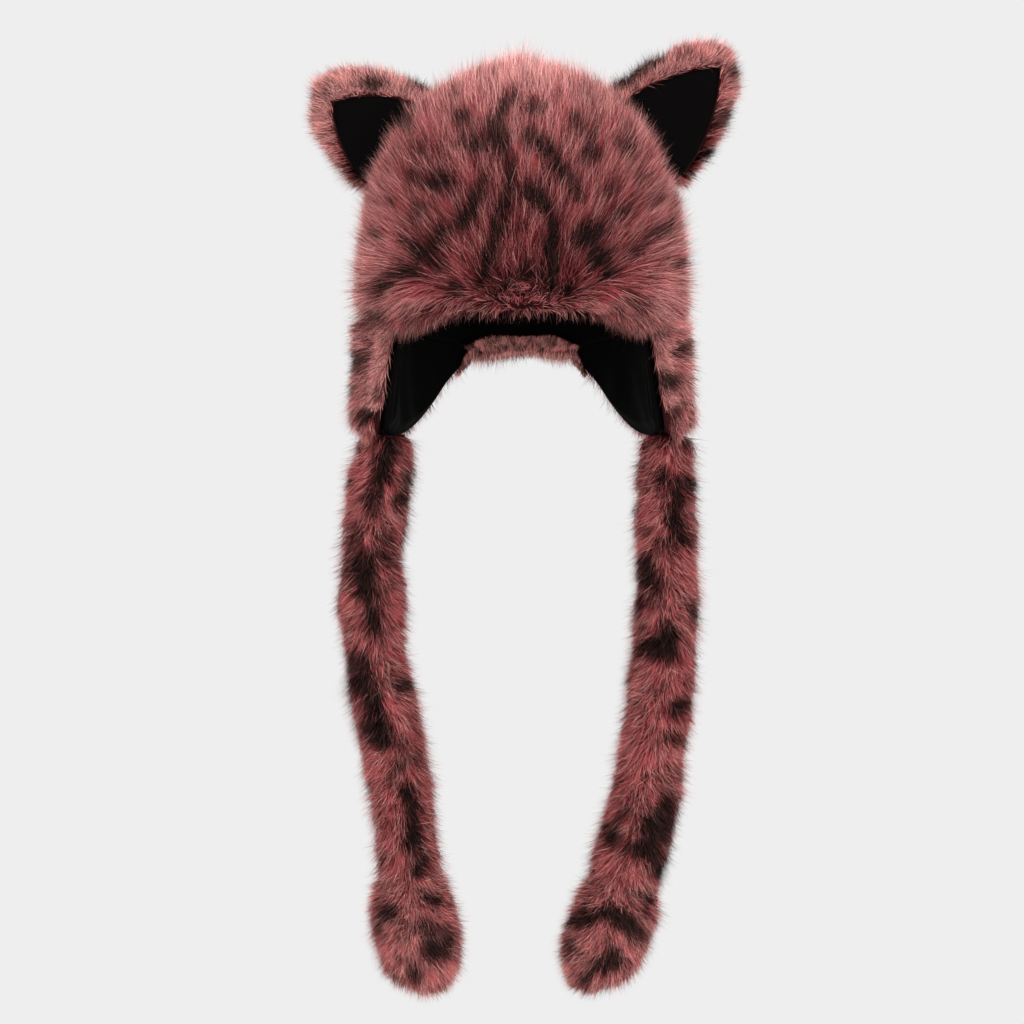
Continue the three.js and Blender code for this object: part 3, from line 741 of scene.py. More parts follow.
def crown_tone_and_painted_light(points):
    """Where the fur looks paler or deeper: partly how it was brushed, partly painted light on the top and
    sides and painted shade in the middle of the front; paler towards the back.
    """
    across, up = seen(points)
    tone = np.zeros(across.shape)
    for a, b, wide, tall, strength in TONES_AND_PAINTED_LIGHT:
        tone += strength * np.exp(-(((across - a) / wide) ** 2) - ((up - b) / tall) ** 2)
    return tone + 0.2 * smoothstep(20, 70, points[..., 1])


# %% How the crown's hair grows
# Numbers of blades and of guard hairs
CROWN_COUNTS = ((38000, 52000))
CROWN_HAIR = 25
CROWN_ROWS, CROWN_COLUMNS = 44, 64
# Domes begin this far from their top, as a share, so that their first row keeps its faces
TOP_HOLE = 0.004


def by_ear(root):
    """1 where the crown's hair was cut short in front of the black ear faces."""
    beside = (np.abs(root[:, 0]) - 92) / 26
    height = (root[:, 2] - 118) / 40
    return np.exp(-(beside**2) - height**2 - ((root[:, 1] + 8) / 26) ** 2)


def at_brow(root):
    """1 just above the front rim, where the hair stands out in small tufts."""
    in_front = smoothstep(-30, -70, root[:, 1]) * smoothstep(95, 70, np.abs(root[:, 0]))
    return in_front * smoothstep(34, 12, root[:, 2])


def crown_growth(root):
    """Length and lean of the hair at the roots."""
    aside = np.abs(root[:, 0])
    front = smoothstep(-40, -85, root[:, 1])
    low = front * smoothstep(22, 4, root[:, 2])
    middle = smoothstep(72, 46, aside)
    nape = smoothstep(70, 100, root[:, 1]) * smoothstep(20, -5, root[:, 2])
    length = CROWN_HAIR + 2.5 * ripple(root, 20, 3) - low * (5 + 9 * middle) - 9 * nape
    length = length - 3 * smoothstep(70, 88, aside) * smoothstep(20, 60, root[:, 2])
    top = smoothstep(150, 160, root[:, 2]) * smoothstep(45, 10, np.abs(root[:, 1]))
    length = length * (1 + 0.25 * top * smoothstep(14, 3, aside))
    away = np.linalg.norm(from_parting(root) * [1, 0, 1], axis=-1)
    parted = smoothstep(0, 24, away + 60 * (1 - front))
    lean = blend(0.6, 1.0, parted) * (1 - 0.15 * at_brow(root)) + 0.3 * by_ear(root)
    return length * (1 - 0.42 * by_ear(root)), lean


# %% [markdown]
# Most of the hair grows all over the half. A sparse fringe closes the hem, and at the nape a
# strip is rolled in, because the photo shows fur there below the black lining. At the nape the
# fringe and the rolled strip are made paler: painted light on hair in the shade under the crown.

# %% Crown halves
def make_crown(name, sign):
    rng = np.random.default_rng(11 + sign)
    lift = CROWN_PILE * UNDERCOAT
    place = crown_place(sign, lift)
    v, u = share_grid(CROWN_ROWS, CROWN_COLUMNS, TOP_HOLE)
    outer = place(u, v)
    bumps = 1.6 * ripple(outer, 13, 5) * smoothstep(1, 0.9, v)
    outer += facing(place, u, v, outer) * bumps[..., None]
    inner = crown_place(sign, 0.2)(u, v)
    for sheet in (outer, inner):
        sheet[..., 0] = sign * np.maximum(sheet[..., 0] * sign, GAP / 2)
    under = undercoat(outer, inner, u, v)

    def rooted(u, v):
        root = place(u, v)
        out = facing(place, u, v, root - np.array([0, 0, 20]))
        root = root - out * 2
        nap = turned(crown_nap(root, out), out, 50 * at_brow(root) * ripple(root, 8, 17))
        length, lean = crown_growth(root)
        blades = dict(length=length, lean=(38 * lean, 66 * lean), gather=0.5, seed=21)
        return root, out, nap, blades, dict(length=length * 1.15, lean=52 * lean)

    patches = both_kinds(place, CROWN_COUNTS, rng, rooted)

    def hem(a, b):
        return dome(180 * a, np.ones_like(a), CROWN_HIDE + 1 + b * (lift * 0.72 - 1)) * [sign, 1, 1]

    hem_counts = CROWN_COUNTS[0] // 22, CROWN_COUNTS[1] // 18
    for count, fine in zip(hem_counts, (False, True)):
        at_middle = 0.10 if fine else 0.0

        def hem_density(a, b):
            by_the_flap = smoothstep(0.3, 0.36, a) * smoothstep(0.9, 0.84, a)
            return blend(at_middle, 1, smoothstep(0.13, 0.24, a)) - 0.85 * by_the_flap

        a, b = scatter(hem, count, rng, density=hem_density)
        b = np.where(a < 0.3, 1 - 0.3 * b**2, b)
        root = hem(a, b)
        out = unit(root * [1, 1, 0])
        down = level(DOWN, out)
        corner = smoothstep(0.14, 0.28, a) * smoothstep(0.5, 0.4, a)
        nape = smoothstep(0.5, 0.8, a)
        length = 6 + 9 * corner + nape * (6 - 9 * smoothstep(0.86, 1, a))
        if fine:
            patch = guard_hairs(root, down, out, length + 4, 22, rng, spread=60)
        else:
            patch = grow(root, down, out, length, (56 - 40 * nape, 50 - 40 * nape), rng, seed=31)
        # At the nape the fringe is made paler: painted light on hair in the shade under the crown
        patches.append(patch | {"u": a, "v": 1 + 0.02 * b, "paler": 1.2 * nape})

    def rolled_hem(a, b):
        turn = 149 + 31 * a
        share = 1 - 0.05 * b * smoothstep(146, 166, turn)
        return dome(turn, share, 0.1) * [sign, 1, 1]

    # The rolled strip is made paler: painted light
    patches.append(rolled_in(rolled_hem, hem_counts[0], 7, rng, seed=33, reach=0.2, paler=1.4))
    make_coat(name, under, patches, crown_print, crown_tone_and_painted_light, rng, "rose_fur")


for name, sign in (("crown_left", -1), ("crown_right", 1)):
    make_crown(name, sign)

# %% [markdown]
# ## The lining
#
# A smooth black cloth bag inside the crown. It is sewn in at the hem and hangs a little loose,
# so its wall has soft, shallow folds.

# %% Black cloth
def cloth_material(name, colour, roughness, weave):
    material, tree, shader = new_material(name)
    shader.inputs["Specular IOR Level"].default_value = 0.015
    place = tree.nodes.new("ShaderNodeTexCoord")
    fibres = tree.nodes.new("ShaderNodeTexNoise")
    fibres.inputs["Scale"].default_value = weave
    fibres.inputs["Detail"].default_value = 3
    tree.links.new(place.outputs["Object"], fibres.inputs["Vector"])
    deep, pale = ((*[part * share for part in colour], 1) for share in (0.7, 1.3))
    tint = colour_mix(tree, fibres.outputs["Fac"], deep, pale)
    tree.links.new(tint, shader.inputs["Base Color"])
    rough = stretch(tree, fibres.outputs["Fac"], 0.2, 0.8, roughness - 0.06, roughness + 0.06)
    tree.links.new(rough, shader.inputs["Roughness"])
    bump = tree.nodes.new("ShaderNodeBump")
    bump.inputs["Strength"].default_value = 0.15
    bump.inputs["Distance"].default_value = 0.0003
    tree.links.new(fibres.outputs["Fac"], bump.inputs["Height"])
    tree.links.new(bump.outputs["Normal"], shader.inputs["Normal"])
    return material


black_cloth = cloth_material("black_cloth", (0.0030, 0.0027, 0.0026), roughness=0.85, weave=900)


def cloth_piece(name, node, points, faces, material):
    piece = make_mesh(name, points, faces, NO_TRIS)
    piece.data.materials.append(material)
    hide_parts(node)
    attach(piece, "root")
    print(f"{name}: {2 * len(faces)} triangles")
    return piece


# %% Lining
def full_dome(rows, columns, offset, folds):
    share, turn = np.meshgrid(np.linspace(TOP_HOLE, 1, rows), np.linspace(0, 360, columns), indexing="ij")
    half_turn = np.where(turn > 180, 360 - turn, turn)
    sheet = dome(half_turn, share, offset)
    sheet[..., 0] *= np.where(turn > 180, -1, 1)
    fold = folds * ripple(sheet * [1, 1, 0.4], 22, 9)
    fold = fold * smoothstep(0.1, 0.4, share) * smoothstep(1, 0.93, share)
    return sheet + unit(sheet) * fold[..., None]


LINING_ROWS, LINING_COLUMNS = 48, 97
lining_points, lining_faces = closed_sheet(
    full_dome(LINING_ROWS, LINING_COLUMNS, offset=LINING_WALL - 0.2, folds=0.0),
    full_dome(LINING_ROWS, LINING_COLUMNS, offset=0.6, folds=0.9),
)
cloth_piece("cloth_lining", "lining", lining_points, lining_faces, black_cloth)

# %% [markdown]
# ## The ear flaps
#
# A flap goes on where the crown's hem ends. Inside it is padded black cloth, outside it is
# the same fur as the crown. Its hem is a table: deep over the cheek, shallow towards the nape.

# %% Flap form
FLAP_HEIGHT, FLAP_PAD, FLAP_PILE, FLAP_SPLAY = 74, 10, 26, 6
# Turns in degrees: where a flap begins, how far its front edge slants back, and where it ends
FLAP_FRONT, FLAP_SLANT, FLAP_BACK = 66, 12, 153
# Depth of the hem from front to back, as a share of the flap's height
FLAP_HEM = [
    (0.00, 0.76), (0.05, 0.92), (0.15, 1.00), (0.38, 0.98), (0.52, 0.92),
    (0.64, 0.80), (0.76, 0.60), (0.87, 0.36), (0.95, 0.22), (1.00, 0.14),
]


def flap_point(sign, across, down, offset):
    turn = blend(FLAP_FRONT + FLAP_SLANT * down, FLAP_BACK, across)
    top = hem_height(turn) - GAP
    low = hem_height(turn) - FLAP_HEIGHT * through(FLAP_HEM, across)
    z = blend(top, low, down)
    splay = FLAP_SPLAY * np.clip(-z / FLAP_HEIGHT, 0, 1)
    angle = np.radians(turn)
    x = sign * (HEAD_WIDTH / 2 + offset + splay) * np.sin(angle)
    y = -(HEAD_DEPTH / 2 + offset + splay) * np.cos(angle)
    return np.stack([x, y, z + 0 * x], -1)


def inside(across, down, reach):
    return smoothstep(0, reach, np.minimum(np.minimum(across, 1 - across), 1 - down))


# %% [markdown]
# The padded inner face is a pillow: full in the middle, thin at its edges, with a seam that runs
# along the front edge and folds that radiate from it, because the padding is bent around the
# cheek.

# %% Flap linings
PAD_ROWS, PAD_COLUMNS = 56, 84


def make_flap_lining(name, sign):
    down, across = share_grid(PAD_ROWS, PAD_COLUMNS)
    thin = 0.42 * (1 - inside(across, down, 0.13))
    seam = 1.9 * np.exp(-(((across - 0.085) / 0.012) ** 2)) * smoothstep(0.97, 0.85, down)
    folds = 1.3 * ripple(flap_point(sign, across, down * 0.45, 0.0), 15, 40 + sign)
    folds = folds * inside(across, down, 0.16)
    outer = flap_point(sign, across, down, FLAP_PAD * (1 - thin * 0.7))
    inner = flap_point(sign, across, down, FLAP_PAD * thin + seam + folds - 0.3)
    points, faces = closed_sheet(outer, inner)
    piece = cloth_piece(f"cloth_{name}", name, points, faces, black_cloth)


make_flap_lining("flap_lining_left", -1)
make_flap_lining("flap_lining_right", 1)

# %% [markdown]
# Outside, the hair of a flap is brushed back and falls more and more towards the hem. Shorter
# hair closes the front edge and the hem, and a little is rolled in at the back corner, where
# it shows from inside.

# %% Flap fur
FLAP_COUNTS = ((11000, 14000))
FLAP_HAIR = 21
FLAP_ROWS, FLAP_COLUMNS = 22, 36


def flap_place(sign, lift):
    def place(u, v):
        thinning = blend(0.42, 1, inside(u, v, 0.22))
        return flap_point(sign, u, v, FLAP_PAD + GAP + lift * thinning)

    return place


def flap_nap(sign, out, v):
    sideways = level(np.array([sign, 0.35, 0]), out)
    backwards = level(np.array([0, 1.0, 0]), out)
    sideways = unit(sideways * 0.4 + backwards)
    fall = blend(0.1, 2.2, smoothstep(0.2, 1.0, v))[:, None]
    return level(sideways + level(DOWN, out) * fall, out)


def flap_print(points):
    return darkness(points, FLAP_SPOTS, middle=40, behind=lambda across, up: (-across, up - 14))


def flap_tone(points):
    return 0.58 - 0.2 * smoothstep(0, 70, points[..., 1])


def make_flap(name, sign):
    rng = np.random.default_rng(31 + sign)
    lift = FLAP_PILE * UNDERCOAT
    place = flap_place(sign, lift)
    v, u = share_grid(FLAP_ROWS, FLAP_COLUMNS)
    under = undercoat(place(u, v), flap_place(sign, 0.2)(u, v), u, v)

    def edges(u, v):
        return 1 + 0.8 * (1 - inside(u, v, 0.1))

    def rooted(u, v):
        root = place(u, v)
        out = facing(place, u, v, flap_place(sign, lift + 5)(u, v) - root)
        nap = flap_nap(sign, out, v)
        length = FLAP_HAIR - 4 * (1 - inside(u, v, 0.2)) - 7 * smoothstep(0.12, 0, u)
        length = length + 2 * ripple(root, 18, 4)
        blades = dict(length=length, lean=(40, 68), droop=0.15, seed=41)
        return root - out * 1.5, out, nap, blades, dict(length=length * 1.05, lean=56, spread=26)

    def edge_lift(b):
        return FLAP_PAD + GAP + 0.5 + b * (lift * 0.42)

    def front_edge(a, b):
        return flap_point(sign, 0 * a, a, edge_lift(b))

    def low_edge(a, b):
        return flap_point(sign, a, np.ones_like(a), edge_lift(b))

    def at_front(a, b):
        root = front_edge(a, b)
        out = np.broadcast_to(np.array([0, -1.0, 0]), root.shape)
        nap = unit(np.stack([sign * blend(0.9, 1.3, b), 0 * a, -1 - 0.3 * a], -1))
        blades = dict(length=8, lean=(50, 84), gather=0.15, seed=42)
        return root, out, nap, blades, dict(length=11, lean=66, spread=24)

    def at_foot(a, b):
        root = low_edge(a, 1 - 0.6 * b)
        out = np.broadcast_to(DOWN, root.shape)
        nap = unit(np.stack([sign + 0 * a, 0.8 + 0 * a, 0 * a], -1))
        length = 9 + 4 * smoothstep(0.2, 0.05, a)
        blades = dict(length=length, lean=(50, 72), gather=0.2, seed=43)
        return root, out, nap, blades, dict(length=length + 1, lean=62, spread=24)

    hairs, guards = FLAP_COUNTS
    patches = both_kinds(place, FLAP_COUNTS, rng, rooted, density=edges)
    for patch in both_kinds(front_edge, (hairs // 12, guards // 8), rng, at_front):
        patches.append(patch | {"u": patch["v"] * 0.01, "v": patch["u"]})
    for patch in both_kinds(low_edge, (hairs // 8, guards // 14), rng, at_foot):
        patches.append(patch | {"v": 1 + 0.02 * patch["v"]})

    def rolled_corner(a, b):
        across = 0.9 + 0.1 * a
        return flap_point(sign, across, 1 - 0.9 * b * a, -0.6)

    # The rolled corner is made paler: painted light on hair in the shade under the hem
    patches.append(rolled_in(rolled_corner, hairs // 18, 6, rng, seed=44, reach=0.1, paler=1.0))
    make_coat(name, under, patches, flap_print, flap_tone, rng, "rose_fur")


make_flap("flap_left", -1)
make_flap("flap_right", 1)

# %% [markdown]
# ## The ears
#
# Each ear is a stuffed fur shell with a flat black face. It stands out from the side of the
# crown; the left one was pushed lower in the photo than the right one. The hair grows outwards
# from the black face, all round the rim, and lies flat on the back.

# %% Ear form
EAR_WIDTH, EAR_HEIGHT, EAR_DEPTH, EAR_ROOT, EAR_SETBACK = 86, 83, 32, 30, 4
EARS = {
    "left": {
        "sign": -1, "rise": 34, "x": 0.74, "z": 0.69, "height": 0.82, "lean": -0.03,
        "panel_height": 0.71, "panel_along": 0.07, "tone": 1.0,
    },
    "right": {
        "sign": 1, "rise": 43, "x": 0.74, "z": 0.70, "height": 1.00, "lean": -0.07,
        "panel_height": 0.98, "panel_along": 0.05, "tone": 0.6,
    },
}
PANEL_WIDTH, PANEL_HEIGHT, PANEL_WALL = 62, 68, 2
# How much the outlines bulge across and up: 2 would be an ellipse, 1 a straight line
EAR_OUTLINE, PANEL_OUTLINE = (1.6, 2.1), (1.15, 1.7)
# From the face to the back in six steps: how wide the shell is, and how far back
EAR_GROW = [(0, 0.40), (1, 0.90), (2, 1.00), (3, 0.97), (4, 0.80), (5, 0.50), (6, 0.02)]
EAR_BACK = [(0, 0.00), (1, 0.02), (2, 0.20), (3, 0.46), (4, 0.74), (5, 0.92), (6, 1.00)]


def ear_outline(angle, width, height, root, power):
    sine, cosine = np.sin(angle), np.cos(angle)
    reach = np.where(sine > 0, height, root)
    p = width / 2 * np.sign(cosine) * np.abs(cosine) ** (2 / power[0])
    q = np.sign(sine) * reach * np.abs(sine) ** (2 / power[1])
    return p, q


def ear_place_at(ear, p, q, back):
    rise = np.radians(ear["rise"])
    leaning = p + ear["lean"] * EAR_WIDTH * (q / EAR_HEIGHT)
    crown_half = HEAD_WIDTH / 2 + CROWN_HIDE + CROWN_PILE
    crown_top = HEAD_HEIGHT + CROWN_HIDE + CROWN_PILE
    x = ear["sign"] * (ear["x"] * crown_half + q * np.cos(rise) + leaning * np.sin(rise))
    z = ear["z"] * crown_top + q * np.sin(rise) - leaning * np.cos(rise)
    return np.stack([x, EAR_SETBACK + back + 0 * x, z], -1)


def ear_ring(ear, inset, u, v):
    """Across, up and back of a place on the shell: round the ear by u, from face to back by v."""
    height = EAR_HEIGHT * ear["height"]
    middle = height * 0.3
    p, q = ear_outline(2 * np.pi * u, EAR_WIDTH, height, EAR_ROOT, EAR_OUTLINE)
    section = 6 * v
    wide, back = through(EAR_GROW, section), through(EAR_BACK, section)
    length = np.hypot(p, q - middle)
    pulled = inset * smoothstep(0.55, 1.0, wide) + inset * 0.4 * smoothstep(3, 6, section)
    wide = np.maximum(wide - pulled / length, 0.01)
    return p * wide, blend(middle, q, wide), 0.6 + back * (EAR_DEPTH - inset)


def ear_surface(ear, inset):
    return lambda u, v: ear_place_at(ear, *ear_ring(ear, inset, u, v))


# %% Ear fur
EAR_COUNTS = ((11000, 14000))
EAR_INSET, EAR_HAIR = 10, 14
# Half width, half depth and height of the crown's undercoat
CROWN_COVERS = (112, 130, 172)
EAR_ROWS, EAR_COLUMNS = 24, 57


def in_panel(ear, u, v):
    """Whether a place on the ear's shell lies under its black panel."""
    p, q, _ = ear_ring(ear, EAR_INSET, u, v)
    p = p - PANEL_WIDTH * ear["panel_along"]
    reach = np.where(q > 0, PANEL_HEIGHT * ear["panel_height"], EAR_ROOT / 2)
    side = np.abs(p / (PANEL_WIDTH / 2)) ** PANEL_OUTLINE[0]
    return (side + np.abs(q / reach) ** PANEL_OUTLINE[1] < 1.04) & (v < 0.4)


def clear_of_crown(points):
    """Whether a place lies outside the crown's undercoat."""
    x, y, z = (points[..., axis] / size for axis, size in enumerate(CROWN_COVERS))
    return np.hypot(x, y) ** SIDE_POWER + np.maximum(z, 0) ** TOP_POWER > 1


def make_ear(side):
    ear = EARS[side]
    rng = np.random.default_rng(51 + ear["sign"])
    place = ear_surface(ear, EAR_INSET)
    v, u = share_grid(EAR_ROWS, EAR_COLUMNS)
    sheet = place(u, v)
    faces, uv = grid_quads(EAR_ROWS, EAR_COLUMNS), np.stack([u, v], -1).reshape(-1, 2)
    under = (sheet.reshape(-1, 3), faces, NO_TRIS, uv)

    heart = ear_place_at(ear, 0, EAR_HEIGHT * ear["height"] * 0.25, EAR_DEPTH / 2)
    base = ear_place_at(ear, 0, -8, 0)

    def density(u, v):
        bare = in_panel(ear, u, v) | ~clear_of_crown(place(u, v))
        return np.where(bare, 0, 1 + 1.2 * smoothstep(0.45, 0.2, v))

    def rooted(u, v):
        root = place(u, v)
        out = facing(place, u, v, root - heart)
        nap = level((root - base) * [1, 0, 1], out)
        rim = smoothstep(0.24, 0.1, v)
        length = EAR_HAIR + 2 * ripple(root, 14, 6) - 3 * rim
        lean = (34 - 16 * rim, 56 - 20 * rim)
        blades = dict(length=length * (1 - 0.3 * rim), lean=lean, gather=0.45, swirl=22, seed=61)
        guards = dict(length=length * 1.2, lean=44 - 14 * rim, spread=26 + 14 * rim)
        return root - out, out, nap, blades, guards

    patches = both_kinds(place, EAR_COUNTS, rng, rooted, density=density)
    ear_print = upright_print(EAR_SPOTS, middle=30, up_shift=0)
    coat = make_coat(f"ear_{side}", under, patches, ear_print, even_tone(ear["tone"]), rng, "rose_fur")


make_ear("left")
make_ear("right")

# %% [markdown]
# The black ear face is cut from the lining cloth and sewn in flat, a little sunk between its
# edges.

# %% Ear panels
PANEL_ROWS, PANEL_COLUMNS = 18, 73


def make_panel(side):
    ear = EARS[side]
    height = PANEL_HEIGHT * ear["panel_height"]
    shift = PANEL_WIDTH * ear["panel_along"]
    wide, round_it = share_grid(PANEL_ROWS, PANEL_COLUMNS, 0.01)
    p, q = ear_outline(2 * np.pi * round_it, PANEL_WIDTH, height, EAR_ROOT / 2, PANEL_OUTLINE)
    p, q = p * wide, q * wide
    sunk = 1.1 * (1 - wide**2) + 0.25 * ripple(np.stack([p, q, 0 * p], -1), 12, 70)
    rounded = PANEL_WALL * smoothstep(1.04, 0.86, wide)
    front = ear_place_at(ear, p + shift, q, -GAP - rounded + sunk * 0.8)
    back = ear_place_at(ear, p + shift, q, -GAP + 0.1 + 0 * p)
    points, faces = closed_sheet(front, back)
    cloth_piece(f"cloth_ear_panel_{side}", f"ear_panel_{side}", points, faces, black_cloth)


make_panel("left")
make_panel("right")

# %% [markdown]
# ## The ties and paws
#
# A tie is a sewn tube of fur, stuffed and about 5 cm thick, that hangs from the flap's tip and
# sways a little. It ends in a thicker paw. The hair is brushed down and stands out sideways.

# %% Tie form
TIE_LENGTH, TIE_WIDTH, TIE_SWAY = 305, 47, 25
PAW_LENGTH, PAW_WIDTH, PAW_DEPTH = 84, 62, 52
TIE_X, TIE_Y, TIE_TOP = 97.0, 16.1, -78.2
# Form of a tie, from its top down: place, sway outwards in TIE_SWAY, width in TIE_WIDTH.
# Its paw has the sway at its top and its tip.
TIES = {
    "left": {
        "sign": -1,
        "form": [
            (0, -0.10, 0.76), (0.10, 0.06, 1.02), (0.24, 0.26, 0.96), (0.38, 0.30, 1.06),
            (0.50, 0.18, 0.96), (0.62, -0.08, 1.06), (0.80, -0.48, 1.00), (1, -0.76, 0.98),
        ],
        "paw": (-0.76, -1.15),
        "spots": TIE_LEFT_SPOTS,
        "paw_spots": PAW_LEFT_SPOTS,
    },
    "right": {
        "sign": 1,
        "form": [
            (0, 0.12, 0.74), (0.10, 0.12, 0.92), (0.25, 0.16, 0.98), (0.45, 0.10, 1.02),
            (0.62, -0.08, 1.04), (0.80, -0.42, 1.10), (0.93, -0.78, 1.18), (1, -1.00, 1.14),
        ],
        "paw": (-1.02, -1.88),
        "spots": TIE_RIGHT_SPOTS,
        "paw_spots": PAW_RIGHT_SPOTS,
    },
}
PAW_TOP = TIE_TOP - TIE_LENGTH - GAP
PAW_WIDE = [
    (0, 0.74), (0.12, 0.86), (0.28, 0.97), (0.46, 1.00), (0.64, 0.98),
    (0.80, 0.87), (0.92, 0.62), (0.98, 0.34), (1.0, 0.02),
]


def tube_point(tie, sway, u, wide, deep, z):
    """A point on an oval ring around the tie's middle."""
    x = tie["sign"] * (TIE_X + TIE_SWAY * sway)
    angle = 2 * np.pi * u
    return np.stack([x + wide * np.cos(angle), TIE_Y + deep * np.sin(angle), z + 0 * x], -1)


def tie_place(tie, inset):
    along, sway, wide = zip(*tie["form"])

    def place(u, v):
        closer = inset * blend(0.6, 1, smoothstep(0, 0.06, v))
        radius = TIE_WIDTH / 2 * through(list(zip(along, wide)), v) - closer
        out = through(list(zip(along, sway)), v)
        return tube_point(tie, out, u, radius, radius, TIE_TOP - TIE_LENGTH * v)

    return place


def paw_place(tie, inset):
    def place(u, v):
        down = np.sin(np.pi / 2 * v)
        wide = through(PAW_WIDE, down)
        across, deep = (np.maximum(size / 2 * wide - inset, 0.3) for size in (PAW_WIDTH, PAW_DEPTH))
        z = PAW_TOP - (PAW_LENGTH - inset * 0.9) * down
        return tube_point(tie, blend(*tie["paw"], down), u, across, deep, z)

    return place


# %% Hair of ties and paws
TIE_COUNTS = ((25000, 33000))
PAW_COUNTS = ((10500, 13000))
TIE_INSET, TIE_HAIR = 8.5, 15
# The spots on ties and paws are this much paler than those on the crown
TIE_PRINT = 0.72


# %% Helpers for hanging fur
def tube_undercoat(place, rows, columns, seed):
    v, u = share_grid(rows, columns)
    sheet = place(u, v)
    middle = sheet[:, :-1].mean(axis=1, keepdims=True)
    uneven = ripple(sheet * [1, 1, 0.7], 15, seed)
    uneven[:, -1] = uneven[:, 0]
    sheet = sheet + unit(sheet - middle) * uneven[..., None]
    points = np.concatenate([sheet.reshape(-1, 3), middle[0], middle[-1]])
    ring = np.arange(columns - 1)
    last = (rows - 1) * columns + ring
    top = np.stack([ring + 1, ring, np.full(columns - 1, rows * columns)], -1)
    bottom = np.stack([last, last + 1, np.full(columns - 1, rows * columns + 1)], -1)
    uv = np.concatenate([np.stack([u, v], -1).reshape(-1, 2), [[0.5, 0], [0.5, 1]]])
    return points, grid_quads(rows, columns), np.concatenate([top, bottom]), uv


def hanging_nap(root, out, middle_x):
    """Brushed down, and a little away from the middle."""
    sideways = 0.022 * (root[:, 0] - middle_x) + 0.35 * ripple(root, 45, 8)
    return level(np.stack([sideways, 0 * sideways, -1 + 0 * sideways], -1), out)


def hanging_coat(name, under, patches, spots, up_shift, tone, rng):
    dark = upright_print(spots, TIE_Y + 2, up_shift)
    coat = make_coat(name, under, patches, lambda p: TIE_PRINT * dark(p), even_tone(tone), rng, "tie_fur")


# %% Ties
def make_tie(side):
    tie = TIES[side]
    rng = np.random.default_rng(71 + tie["sign"])
    place = tie_place(tie, TIE_INSET)

    def rooted(u, v):
        root = place(u, v)
        out = facing(place, u, v, root - tie_place(tie, TIE_INSET + 5)(u, v))
        nap = hanging_nap(root, out, root[:, 0] - out[:, 0] * TIE_WIDTH / 2)
        length = TIE_HAIR + 1.8 * ripple(root, 16, 7)
        blades = dict(length=length, lean=(36, 60), droop=0.1, gather=0.5, swirl=26, seed=81)
        return root - out, out, nap, blades, dict(length=length * 1.2, lean=48, spread=30)

    patches = both_kinds(place, TIE_COUNTS, rng, rooted)
    under = tube_undercoat(place, rows=90, columns=25, seed=80)
    hanging_coat(f"tie_{side}", under, patches, tie["spots"], up_shift=31, tone=-0.05, rng=rng)


# %% Paws
def make_paw(side):
    tie = TIES[side]
    rng = np.random.default_rng(91 + tie["sign"])
    place = paw_place(tie, TIE_INSET)
    heart = tube_point(tie, tie["paw"][0], 0, 0, 0, PAW_TOP - PAW_LENGTH * 0.35)

    def rooted(u, v):
        root = place(u, v)
        out = facing(place, u, v, root - heart)
        nap = hanging_nap(root, out, heart[0])
        length = TIE_HAIR + 1.5 * ripple(root, 14, 9)
        blades = dict(length=length, lean=(30, 52), gather=0.45, swirl=22, seed=95)
        return root - out, out, nap, blades, dict(length=length * 1.15, lean=40, spread=34)

    patches = both_kinds(place, PAW_COUNTS, rng, rooted)
    under = tube_undercoat(place, rows=34, columns=29, seed=90)
    hanging_coat(f"paw_{side}", under, patches, tie["paw_spots"], up_shift=20, tone=0.25, rng=rng)


for side in ("left", "right"):
    make_tie(side)
    make_paw(side)

# %% [markdown]
# ## Studio
#
# The photo is a plain shop picture: even pale light from all round and nothing behind the hat.
# A large soft light shines from the upper left, a weaker one from the right, and one from
# above and behind lights the tips of the hair. The floor lies below the picture.

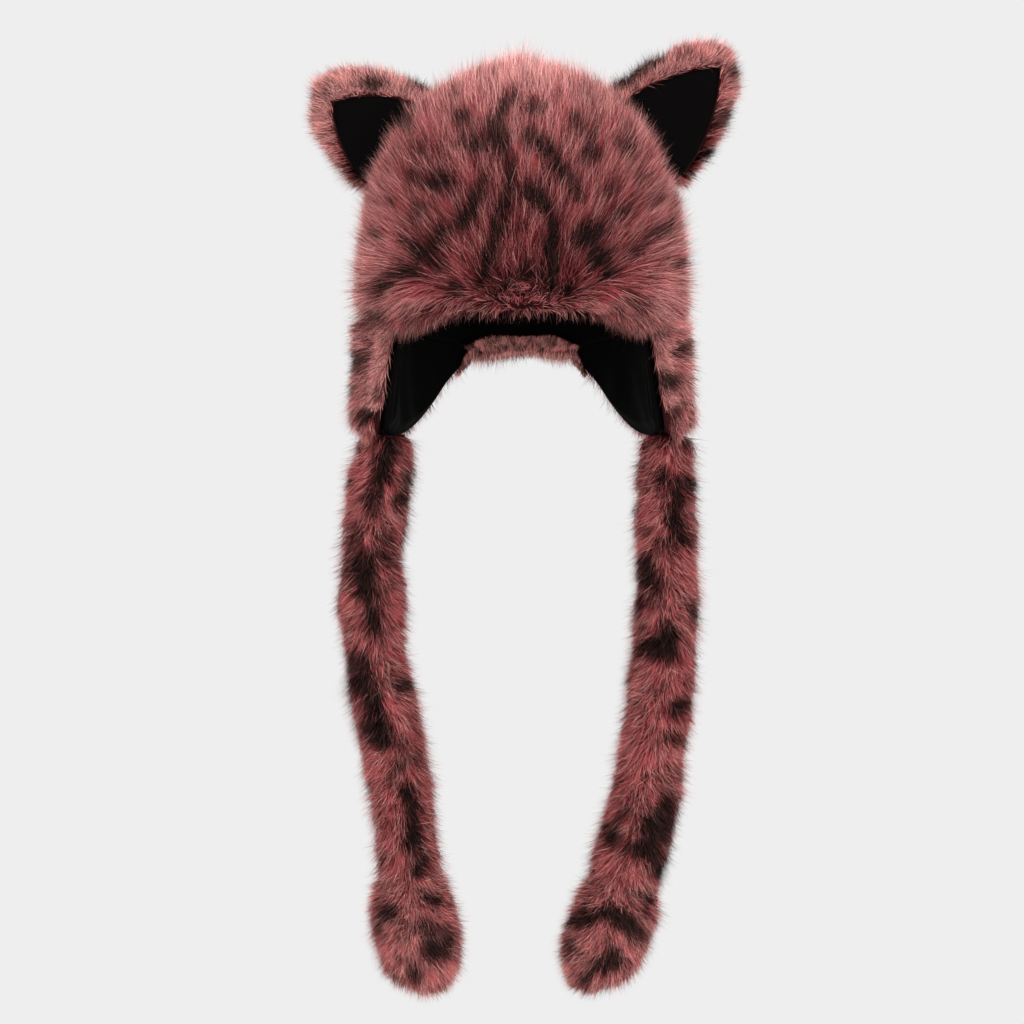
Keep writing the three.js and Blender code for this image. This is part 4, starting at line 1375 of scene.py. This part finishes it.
# %% Floor
FLOOR_REACH, FLOOR_HEIGHT = 1.2, -0.78
floor_corners = [(-1, -1), (1, -1), (1, 1), (-1, 1)]
floor_mesh = bpy.data.meshes.new("studio_floor")
floor_mesh.from_pydata(
    [(x * FLOOR_REACH, y * FLOOR_REACH, FLOOR_HEIGHT) for x, y in floor_corners], [], [(0, 1, 2, 3)]
)
floor_paint, _, floor_shader = new_material("studio_floor")
floor_shader.inputs["Base Color"].default_value = (0.85, 0.85, 0.85, 1)
floor_shader.inputs["Roughness"].default_value = 0.9
floor_mesh.materials.append(floor_paint)
place_object("studio_floor", floor_mesh)

# %% Light
world = bpy.data.worlds.new("studio")
bpy.context.scene.world = world
world.use_nodes = True
background = world.node_tree.nodes["Background"]
background.inputs["Color"].default_value = (0.855, 0.855, 0.855, 1)
background.inputs["Strength"].default_value = 1.0
LIGHT_AIM = Vector((0, 0, -0.1))


def soft_light(name, at, size, power):
    light = bpy.data.lights.new(name, "AREA")
    light.shape = "DISK"
    light.size = size
    light.energy = power
    lamp = place_object(name, light)
    lamp.location = at
    lamp.rotation_euler = (LIGHT_AIM - Vector(at)).to_track_quat("-Z", "Y").to_euler()


soft_light("key", (-0.6, -1.7, 1.5), size=1.2, power=24)
soft_light("fill", (1.3, -1.4, 0.4), size=1.2, power=8)
soft_light("hair_light", (0.1, 1.0, 1.6), size=1.0, power=30)

# %% Camera
# At 2900 pixels of focal length the photo's 1024 pixels show the hat as large as in the photo
FOCAL_PIXELS, PHOTO_PIXELS, SENSOR = 2900, 1024, 36
CAMERA_X = -6.9
lens = bpy.data.cameras.new("camera")
lens.sensor_width = SENSOR
lens.lens = SENSOR * FOCAL_PIXELS / PHOTO_PIXELS
camera = place_object("camera", lens)
camera.location = (CAMERA_X * MM, -EYE_DISTANCE * MM, EYE_HEIGHT * MM)
camera.rotation_euler = (np.pi / 2, 0, 0)
bpy.context.scene.camera = camera
bpy.context.scene.view_settings.view_transform = "Standard"
print(f"studio: floor, three lights and a camera {EYE_DISTANCE / 1000:.0f} m away")
